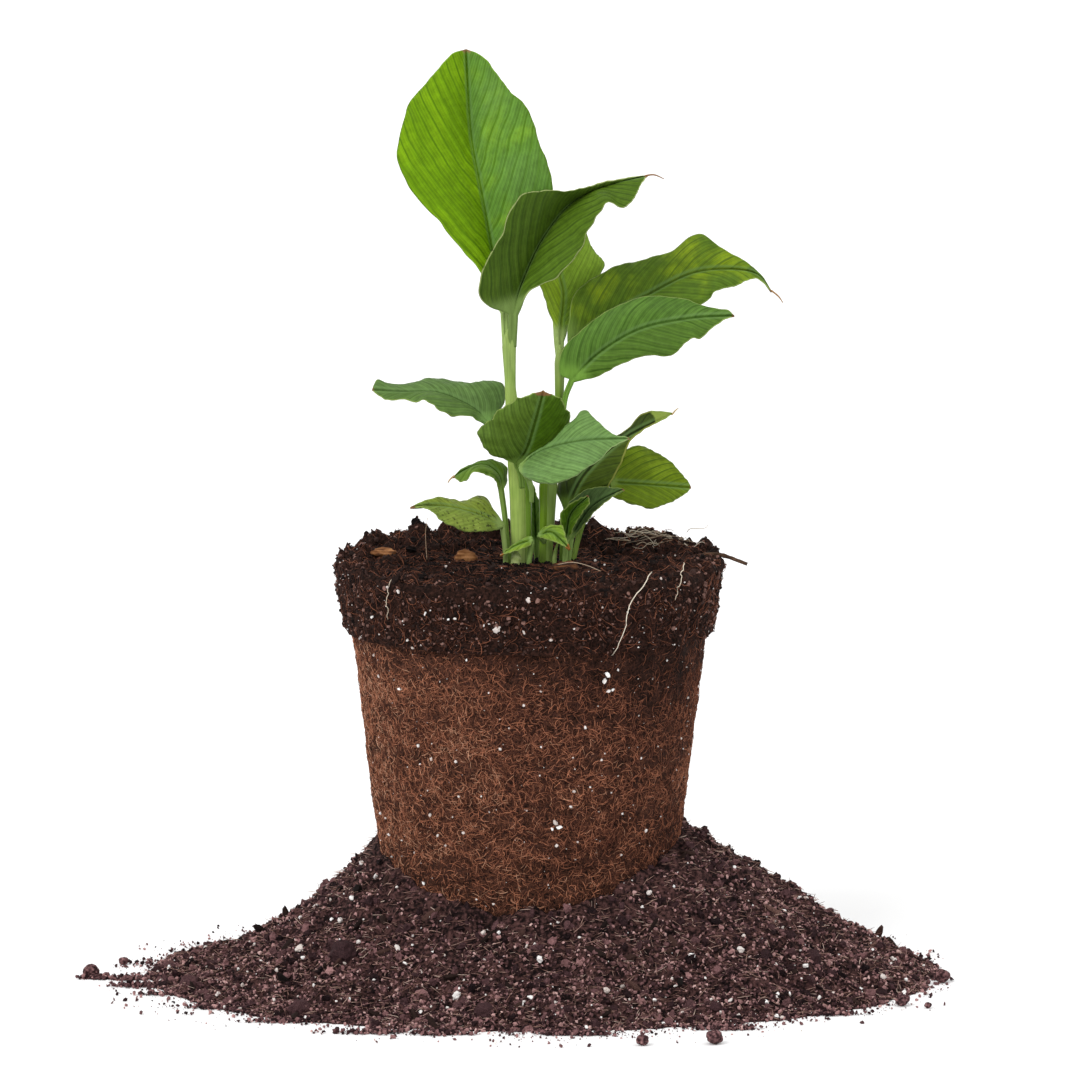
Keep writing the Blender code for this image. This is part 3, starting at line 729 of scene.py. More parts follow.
@dataclass
class Skin:
    """A closed surface turned about Z: rings of points from its lowest ring inwards."""

    rings: np.ndarray  # (rows, turns, 3)

    def normals(self) -> np.ndarray:
        """The outward direction at each point.

        Returns:
            Unit vectors, as (rows, turns, 3).
        """
        along = np.gradient(self.rings, axis=0)
        wrapped = np.concatenate([self.rings[:, -1:], self.rings, self.rings[:, :1]], 1)
        around = (wrapped[:, 2:] - wrapped[:, :-2]) / 2
        return unit(np.cross(around, along))

    def push(self, heights: np.ndarray) -> None:
        """Moves each point outwards by its height."""
        self.rings = self.rings + self.normals() * heights[..., None]

    def build(
        self,
        name: str,
        finish: Finish,
        stands_for: Sequence[str],
        attributes: Optional[dict[str, np.ndarray]] = None,
    ) -> bpy.types.Object:
        """Makes the skin's piece, with a map of straight rows and columns.

        Args:
            name: the piece's name.
            finish: its finish.
            stands_for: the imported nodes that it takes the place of.
            attributes: numbers that its points carry, as (rows, turns).

        Returns:
            The object.
        """
        faces, corners = grid(*self.rings.shape[:2])
        flat = {key: value.ravel() for key, value in (attributes or {}).items()}
        return make_piece(
            name, self.rings.reshape(-1, 3), faces, finish.material(name),
            stands_for, flat, MAP_EDGE + (1 - 2 * MAP_EDGE) * corners.reshape(-1, 2),
        )


class Grain(Enum):
    """How fine a grain's body is, as subdivisions of an icosahedron."""

    PLAIN = 1
    FULL = 2
    FINE = 3


def grain_body(kind: Grain) -> tuple[np.ndarray, np.ndarray]:
    """Points and faces of a round grain of radius 1.

    Args:
        kind: how fine it is.

    Returns:
        The points as (n, 3) and the triangles' point numbers.
    """
    bm = bmesh.new()
    bmesh.ops.create_icosphere(bm, subdivisions=kind.value, radius=1.0)
    points = np.array([tuple(v.co) for v in bm.verts])
    faces = np.array([[v.index for v in f.verts] for f in bm.faces])
    bm.free()
    return points, faces


def random_turns(rng: Random, count: int) -> np.ndarray:
    """Random rotation matrices, as (count, 3, 3).

    Args:
        rng: the source of chance.
        count: how many.

    Returns:
        The matrices.
    """
    first = unit(rng.normal(size=(count, 3)))
    second = unit(np.cross(first, rng.normal(size=(count, 3))))
    return np.stack([first, second, np.cross(first, second)], 1)


@dataclass
class Grains:
    """Many small irregular bodies in one piece."""

    name: str
    finish: GrainFinish
    kind: Grain = Grain.PLAIN
    uneven: float = 0.3
    slim: float = 0.75
    long: float = 1.0

    def build(
        self,
        rng: Random,
        places: np.ndarray,
        radii: np.ndarray,
        shades: np.ndarray,
    ) -> bpy.types.Object:
        """Makes the piece.

        Args:
            rng: the source of chance.
            places: the grains' centres.
            radii: their radii, in metres.
            shades: their shades, from 0 to 1.

        Returns:
            The object.
        """
        body, faces = grain_body(self.kind)
        count = len(places)
        swell = 1 + self.uneven * rng.uniform(-1, 1, (count, len(body)))
        shape = rng.uniform(self.slim, 1.25, (count, 1, 3)) * (self.long, 1, 1)
        points = body[None] * swell[..., None] * shape * radii[:, None, None]
        points = np.einsum("nij,nkj->nki", random_turns(rng, count), points) + places[:, None]
        points[..., 2] = np.maximum(points[..., 2], 0.0)
        numbers = faces[None] + len(body) * np.arange(count)[:, None, None]
        low = np.array([(0, 0), (1, 0), (0, 1)], float) * 0.95
        high = np.array([(1, 1), (0, 1), (1, 0)], float) * 0.95 + 0.05
        inside = np.concatenate([low if k % 2 else high for k in range(len(faces))])
        return make_piece(
            self.name, points.reshape(-1, 3), numbers.reshape(-1, 3),
            self.finish.material(self.name),
            attributes={"shade": np.repeat(shades, len(body))}, corners=cell_map(count, inside),
            smooth=False,
        )


@dataclass
class Strands:
    """Many thin round fibres in one piece."""

    name: str
    finish: GrainFinish
    sides: int = 3
    taper: float = 0.4

    def build(self, paths: np.ndarray, radii: np.ndarray, shades: np.ndarray) -> bpy.types.Object:
        """Makes the piece.

        Args:
            paths: the fibres' middles, as (fibres, points, 3).
            radii: their radii at the thick part, in metres.
            shades: their shades, from 0 to 1.

        Returns:
            The object.
        """
        count, steps = paths.shape[:2]
        t = np.linspace(0, 1, steps)
        thick = radii[:, None] * (1 - (1 - self.taper) * t**2)
        thick[:, 0] *= 0.5
        thick[:, -1] *= 0.3
        points = paths[:, :, None] + ring_round(paths, self.sides) * thick[..., None, None]
        quads, flat = grid(steps, self.sides)
        last = (steps - 1) * self.sides
        caps = [(0, n + 1, n) for n in range(1, self.sides - 1)]
        caps += [(last, last + n, last + n + 1) for n in range(1, self.sides - 1)]
        triangles = np.concatenate([quads[:, :3], quads[:, [0, 2, 3]], np.array(caps)])
        square = flat[..., ::-1]
        end = np.array([[(0, 0), (0, 1), (0.05, 0.5)], [(1, 0), (1, 1), (0.95, 0.5)]], float)
        end = np.repeat(end, self.sides - 2, axis=0)
        inside = np.concatenate([square[:, :3], square[:, [0, 2, 3]], end]).reshape(-1, 2)
        per = steps * self.sides
        numbers = triangles[None] + per * np.arange(count)[:, None, None]
        return make_piece(
            self.name, points.reshape(-1, 3), numbers.reshape(-1, 3),
            self.finish.material(self.name),
            attributes={"shade": np.repeat(shades, per)}, corners=cell_map(count, inside),
        )


# --- the plant --------------------------------------------------------------------------

SOIL_LEVEL = 177 * MM
ROOTED = 10 * MM
GAP = 0.3 * MM


@dataclass
class Shoot:
    """A pseudostem of two sheaths that wrap each other."""

    name: str
    axis: tuple[Point, ...]  # (x, y, height above the soil) in millimetres
    radii: tuple[float, ...]
    lobes: tuple  # (height, (offset, radius) of each sheath), as shares of the shoot's radius
    finish: ShootFinish = ShootFinish()
    sides: int = 64
    rows: int = 110

    def at(self, height: float) -> tuple[np.ndarray, float]:
        """Centre and radius at a height above the soil, in metres.

        Args:
            height: metres above the soil.

        Returns:
            The centre, and the radius in metres.
        """
        heights = [p[2] * MM for p in self.axis]
        x, y = (np.interp(height, heights, [p[k] * MM for p in self.axis]) for k in (0, 1))
        return np.array((x, y, SOIL_LEVEL + height)), float(np.interp(height, heights, self.radii)) * MM

    def lobe(self, height: float, turn: np.ndarray, number: int) -> np.ndarray:
        """How far one sheath reaches at each angle, as a share of the shoot's radius.

        Args:
            height: metres above the soil.
            turn: angles round Z.
            number: 1 or 2, for the sheath.

        Returns:
            The reach at each angle.
        """
        heights = [row[0] for row in self.lobes]
        rows = zip(*(row[number] for row in self.lobes))
        offset, radius = (np.interp(height / MM, heights, row) for row in rows)
        inside = radius**2 - (offset * np.sin(turn)) ** 2
        return offset * np.cos(turn) + np.sqrt(np.maximum(inside, 0.02))

    def build(self) -> bpy.types.Object:
        """Makes the shoot's piece.

        Returns:
            The object.
        """
        tall = self.axis[-1][2] * MM
        turn = TURN * np.arange(self.sides) / self.sides
        rings, layer, heights = [], [], []
        levels = np.concatenate([[-ROOTED], np.linspace(0, tall, self.rows)])
        for level in levels:
            centre, radius = self.at(max(level, 0.0))
            centre[2] = SOIL_LEVEL + level
            both = [self.lobe(max(level, 0.0), turn, number) for number in (1, 2)]
            reach = np.maximum(*both) * radius
            reach = reach * (1 + 0.012 * np.sin(11 * turn) + 0.008 * np.sin(23 * turn + 1))
            ring = centre + np.stack([reach * np.cos(turn), reach * np.sin(turn), 0 * turn], 1)
            rings.append(ring)
            layer.append(both[1] > both[0])
            heights.append(np.full(self.sides, level / MM))
        for swell, lift in ((0.97, 1.0), (0.88, 2.6), (0.72, 4.6), (0.5, 6.4), (0.25, 7.6), (0.02, 8.2)):
            rings.append(rings[len(levels) - 1] * swell + (1 - swell) * self.at(tall)[0] + (0, 0, lift * MM))
            layer.append(layer[-1])
            heights.append(heights[-1])
        attributes = {"lobe": np.array(layer, float), "height": np.array(heights)}
        return Skin(np.array(rings)).build(self.name + "_sheaths", self.finish, (self.name,), attributes)


LEFT_SHOOT = Shoot(
    "left_shoot",
    ((-3.4, 0, 0), (-3.3, 0, 12), (-3.6, 0, 27), (-5.5, 0, 40), (-6.9, 0, 53), (-7.8, 0, 78),
     (-8.4, 0, 91)),
    (4.2, 4.5, 4.6, 3.4, 2.6, 2.5, 2.9),
    lobes=(
        (0, (-0.2, 0.8), (0.48, 0.52)), (25, (-0.2, 0.8), (0.5, 0.5)), (34, (-0.1, 0.9), (0.5, 0.48)),
        (46, (0.0, 1.0), (0.2, 0.5)), (70, (0.0, 1.0), (0.3, 0.5)), (91, (-0.42, 0.6), (0.4, 0.62)),
    ),
)
RIGHT_SHOOT = Shoot(
    "right_shoot",
    ((6.8, 0, 0), (7.4, 0, 14), (8.0, 0, 32), (10.6, 0, 52), (12.8, 0, 69), (13.0, 0, 84)),
    (2.8, 3.2, 3.8, 2.7, 1.9, 2.3),
    lobes=(
        (0, (-0.35, 0.65), (0.4, 0.6)), (30, (-0.4, 0.6), (0.35, 0.65)), (52, (-0.3, 0.7), (0.3, 0.7)),
        (84, (0.0, 1.0), (0.3, 0.6)),
    ),
    finish=ShootFinish(
        outer=(0.105, 0.19, 0.008), inner=(0.15, 0.23, 0.045),
        foot=(0.20, 0.28, 0.07), head=(0.20, 0.28, 0.07)),
)


@dataclass
class Blade:
    """A leaf: its petiole and its blade, in one thin closed body.

    The petiole starts in the soil at soil=(x, y), beside a shoot at a bearing and a distance,
    on a shoot's side at a height and a bearing, or on a shoot's top at top=(x, y). reach and
    bends lead from there to the blade's base, in millimetres. The midrib and the two edges run
    from the base to the midrib's last point, in hundredths of the blade's length.
    """

    name: str
    length: float
    reach: Point
    midrib: tuple[Point, ...]
    left: tuple[Point, ...]
    right: tuple[Point, ...]
    soil: Optional[tuple[float, float]] = None
    beside: Optional[float] = None
    shoot: Optional[Shoot] = None
    height: float = 0.0
    bearing: float = 0.0
    top: Optional[tuple[float, float]] = None
    bends: tuple[Point, ...] = ()
    finish: BladeFinish = BladeFinish()
    girth: tuple[float, float] = (1.0, 1.2)  # petiole's thickness at its foot and at the blade
    arch: float = 0.10  # bulge of each half, as a share of its width
    pleat: float = 0.13  # height of the side veins' pleats in millimetres
    wave: float = 0.9  # height of the margin's waves in millimetres
    waves: float = 3.0
    scallop: float = 0.35  # unevenness of the outline in millimetres
    thickness: float = 0.5
    drip: tuple[Point, ...] = ()  # dry point beyond the tip, in millimetres from it

    PETIOLE_RADIUS = 1.1
    CROWN_PETIOLE_RADIUS = 1.3
    TIP_WIDTH = 0.6

    @property
    def rooted(self) -> bool:
        """Whether the petiole comes out of the soil."""
        return bool(self.soil) or self.beside is not None

    @property
    def radius(self) -> float:
        """The petiole's radius in metres."""
        return (self.CROWN_PETIOLE_RADIUS if self.top else self.PETIOLE_RADIUS) * MM

    @property
    def seed(self) -> int:
        """A number of the leaf's own."""
        return sum(map(ord, self.name))

    def foot(self) -> np.ndarray:
        """Where the petiole leaves the soil or its shoot.

        Returns:
            The place, in metres.
        """
        if self.soil:
            return np.array((self.soil[0] * MM, self.soil[1] * MM, SOIL_LEVEL))
        turn = math.radians(self.bearing)
        way_out = np.array((math.cos(turn), math.sin(turn), 0))
        if self.rooted:
            clear = (max(self.shoot.radii) + self.beside) * MM
            return self.shoot.at(0.0)[0] + way_out * (clear + GAP + self.radius)
        if self.top:
            centre, _ = self.shoot.at(self.shoot.axis[-1][2] * MM)
            return centre + np.array((self.top[0] * MM, self.top[1] * MM, GAP))
        centre, radius = self.shoot.at(self.height * MM)
        return centre + way_out * (radius + GAP + self.radius)

    def tip(self) -> np.ndarray:
        """The blade's last point."""
        share = self.length * MM / 100
        return self.foot() + np.array(self.reach) * MM + np.array(self.midrib[-1]) * share

    @staticmethod
    def square_to(side: np.ndarray, way: np.ndarray) -> np.ndarray:
        """The unit vector nearest to side that is square to way."""
        way = unit(way)
        return unit(side - way * (side @ way))

    def petiole(self) -> np.ndarray:
        """The petiole's middle, from its foot to the blade's base, without the base itself.

        Returns:
            Points from the petiole's foot, as (n, 3).
        """
        way = [np.zeros(3)] + [np.array(b) * MM for b in self.bends] + [np.array(self.reach) * MM]
        long = sum(np.linalg.norm(b - a) for a, b in zip(way, way[1:]))
        steps = max(8, int(long / (0.9 * MM)))
        path = smooth_curve(way, np.linspace(0, 1, steps))[:-1]
        return np.vstack([[(0, 0, -ROOTED)], path]) if self.rooted else path

    def edge(
        self, points: tuple[Point, ...], start: np.ndarray, end: np.ndarray, shares: np.ndarray
    ) -> np.ndarray:
        """One edge of the blade, from beside its base to beside its tip.

        Args:
            points: its points, in hundredths of the length.
            start: its first point, from the base.
            end: its last point.
            shares: shares of its length to read it at.

        Returns:
            One point for each share.
        """
        base = np.array(self.reach) * MM
        share = self.length * MM / 100
        way = [base + start] + [base + np.array(p) * share for p in points] + [end]
        return smooth_curve(way, shares)

    def build(self) -> bpy.types.Object:
        """Makes the leaf's piece.

        Returns:
            The object.
        """
        share = self.length * MM / 100
        base = np.array(self.reach) * MM
        left, right, midrib = (np.array(row, float) for row in (self.left, self.right, self.midrib))
        across = self.square_to(left[0] - right[0], midrib[0])
        tip_across = self.square_to(left[-1] - right[-1], midrib[-1] - midrib[-2])
        rows = int(40 + 0.95 * self.length)
        half = int(11 + 0.2 * self.length)
        shares = np.linspace(0, 1, rows)
        tip = base + midrib[-1] * share
        beside = across * self.radius * self.girth[1]
        point = tip_across * self.TIP_WIDTH / 2 * MM
        middle = smooth_curve([base] + [base + p * share for p in midrib], shares)
        lefts = self.edge(self.left, beside, tip + point, shares)
        rights = self.edge(self.right, -beside, tip - point, shares)
        fade = ease(shares / 0.12) * ease((1 - shares) / 0.06)
        for number, edge in enumerate((lefts, rights)):
            uneven = ripple(shares, self.waves * 1.6, self.seed + number) * self.scallop * MM * fade
            edge += unit(edge - middle) * uneven[:, None]

        stem = self.petiole()
        count = len(stem)
        mids = np.vstack([stem, middle])
        ahead = unit(np.gradient(mids, axis=0))
        ahead[: 2 if self.rooted else 1 if self.top else 0] = (0, 0, 1)
        swell = np.interp(np.arange(count), (0, count), self.girth) * self.radius
        sides = np.array([self.square_to(across, way) for way in ahead[:count]]) * swell[:, None]
        lefts = np.vstack([stem + sides, lefts])
        rights = np.vstack([stem - sides, rights])

        s = np.linspace(1, 0, half + 1)
        spans = np.concatenate([s, s[-2::-1]])
        signs = np.concatenate([-np.ones(half), [0.0], np.ones(half)])
        edges = np.where(signs[None, :, None] <= 0, lefts[:, None], rights[:, None])
        sheet = mids[:, None] + (edges - mids[:, None]) * spans[None, :, None]
        normal = self._normals(sheet)
        width = np.linalg.norm(edges - mids[:, None], axis=2)
        along = np.concatenate([np.zeros(count), shares])
        blade = np.concatenate([np.zeros(count), ease(shares / 0.16)])[:, None]
        front = -1.0 if normal[count:, :, 1].mean() > 0 else 1.0
        normal = normal * front

        offset = spans * signs * width / MM
        run = np.concatenate([np.zeros(count), np.linspace(0, self.length, rows)])[:, None]
        phase = run - (1.1 + 0.55 * along[:, None] + 0.2 * spans**2) * np.abs(offset)
        bulge = self.arch * width * 4 * spans * (1 - spans) * blade
        uneven = phase / self.finish.spacing + 0.28 * np.sin(phase / 9.0 + self.seed)
        pleats = np.cos(TURN * uneven) + 0.4 * np.cos(TURN * phase / 2.7 + 1)
        margins = np.where(signs[None] < 0, ripple(along, self.waves, self.seed + 7)[:, None],
                           ripple(along, self.waves, self.seed + 8)[:, None])
        tall = (
            bulge
            + self.pleat * MM * pleats * ease(np.abs(offset) / 2.5) * blade
            + self.wave * MM * margins * spans**3 * blade * np.minimum(width / (8 * MM), 1)
            - 0.55 * MM * np.exp(-((offset / 0.55) ** 2)) * blade
        )
        thin = self.thickness / 2 * MM * (1 - spans**8) ** 0.5
        round_part = np.sqrt(1 - spans**2) * np.concatenate([swell, np.full(rows, swell[-1])])[:, None]
        thick = round_part * (1 - blade) + thin * blade
        rib = 0.8 * MM * np.exp(-((offset / 0.8) ** 2)) * blade * (1 - 0.8 * along[:, None])
        upper = sheet + normal * (tall + thick)[..., None]
        lower = sheet + normal * (tall - thick - rib)[..., None]
        channel = 0.45 * np.exp(-((spans / 0.45) ** 2)) * (1 - blade) * round_part
        upper -= normal * channel[..., None]

        rings = np.concatenate([upper, lower[:, -2:0:-1]], 1) + self.foot()
        shape = (len(mids), 2 * half + 1)
        inset = (1 - spans) * width / MM
        under = np.concatenate([np.zeros(shape), np.ones((len(mids), 2 * half - 1))], 1)
        attributes = {
            "along": self._both_sides(along[:, None], shape),
            "across": self._both_sides(spans * signs, shape),
            "offset": self._both_sides(offset, shape),
            "phase": self._both_sides(phase, shape),
            "inset": self._both_sides(inset, shape),
            "blade": self._both_sides(blade, shape),
            "under": under,
        }
        faces, corners = self._faces(rings.shape[0], half)
        if front > 0:
            faces = faces[:, ::-1]
            corners = corners.reshape(-1, 4, 2)[:, ::-1].reshape(-1, 2)
        return make_piece(
            self.name + "_blade", rings.reshape(-1, 3), faces, self.finish.material(self.name),
            (self.name,),
            {key: value.ravel() for key, value in attributes.items()}, corners,
        )

    @staticmethod
    def _both_sides(values: np.ndarray, shape: tuple[int, int]) -> np.ndarray:
        """Values of the upper side's columns, repeated for the lower side."""
        full = np.broadcast_to(values, shape)
        return np.concatenate([full, full[:, -2:0:-1]], 1)

    @staticmethod
    def _normals(sheet: np.ndarray) -> np.ndarray:
        """The sheet's normals, evened out along the leaf so that the tip stays clean.

        Args:
            sheet: rows of points across the leaf.

        Returns:
            Unit vectors in the same rows.
        """
        normal = unit(np.cross(np.gradient(sheet, axis=0), np.gradient(sheet, axis=1)))
        for _ in range(2):
            padded = np.concatenate([normal[:1], normal, normal[-1:]])
            normal = unit(padded[:-2] + 2 * padded[1:-1] + padded[2:])
        normal[-2:] = normal[-3]
        return normal

    @staticmethod
    def _faces(rows: int, half: int) -> tuple[np.ndarray, np.ndarray]:
        """Faces of the closed sheet, with its two sides next to each other on the map.

        Args:
            rows: rows along the leaf.
            half: columns from the midrib to the edge.

        Returns:
            Quads, and the flat map's corners as (corners, 2).
        """
        around = 4 * half
        quads, corners = grid(rows, around)
        corners = MAP_EDGE + (1 - 2 * MAP_EDGE) * corners
        caps, flat = [], []
        for row, level in ((0, 0.002), (rows - 1, 0.998)):
            for n in range(2 * half):
                first = row * around + n
                other = row * around + (around - n) % around
                after = row * around + (around - n - 1) % around
                quad = (first, first + 1, after, other)
                if len(set(quad)) < 4:
                    continue
                caps.append(quad if row else quad[::-1])
                spot = (n + 0.5) / (2 * half)
                beyond, above = spot + 0.004, level + 0.0015
                flat.append([(spot, level), (beyond, level), (beyond, above), (spot, above)])
        corners = np.concatenate([corners, np.array(flat)])
        return np.concatenate([quads, np.array(caps)]), corners.reshape(-1, 2)


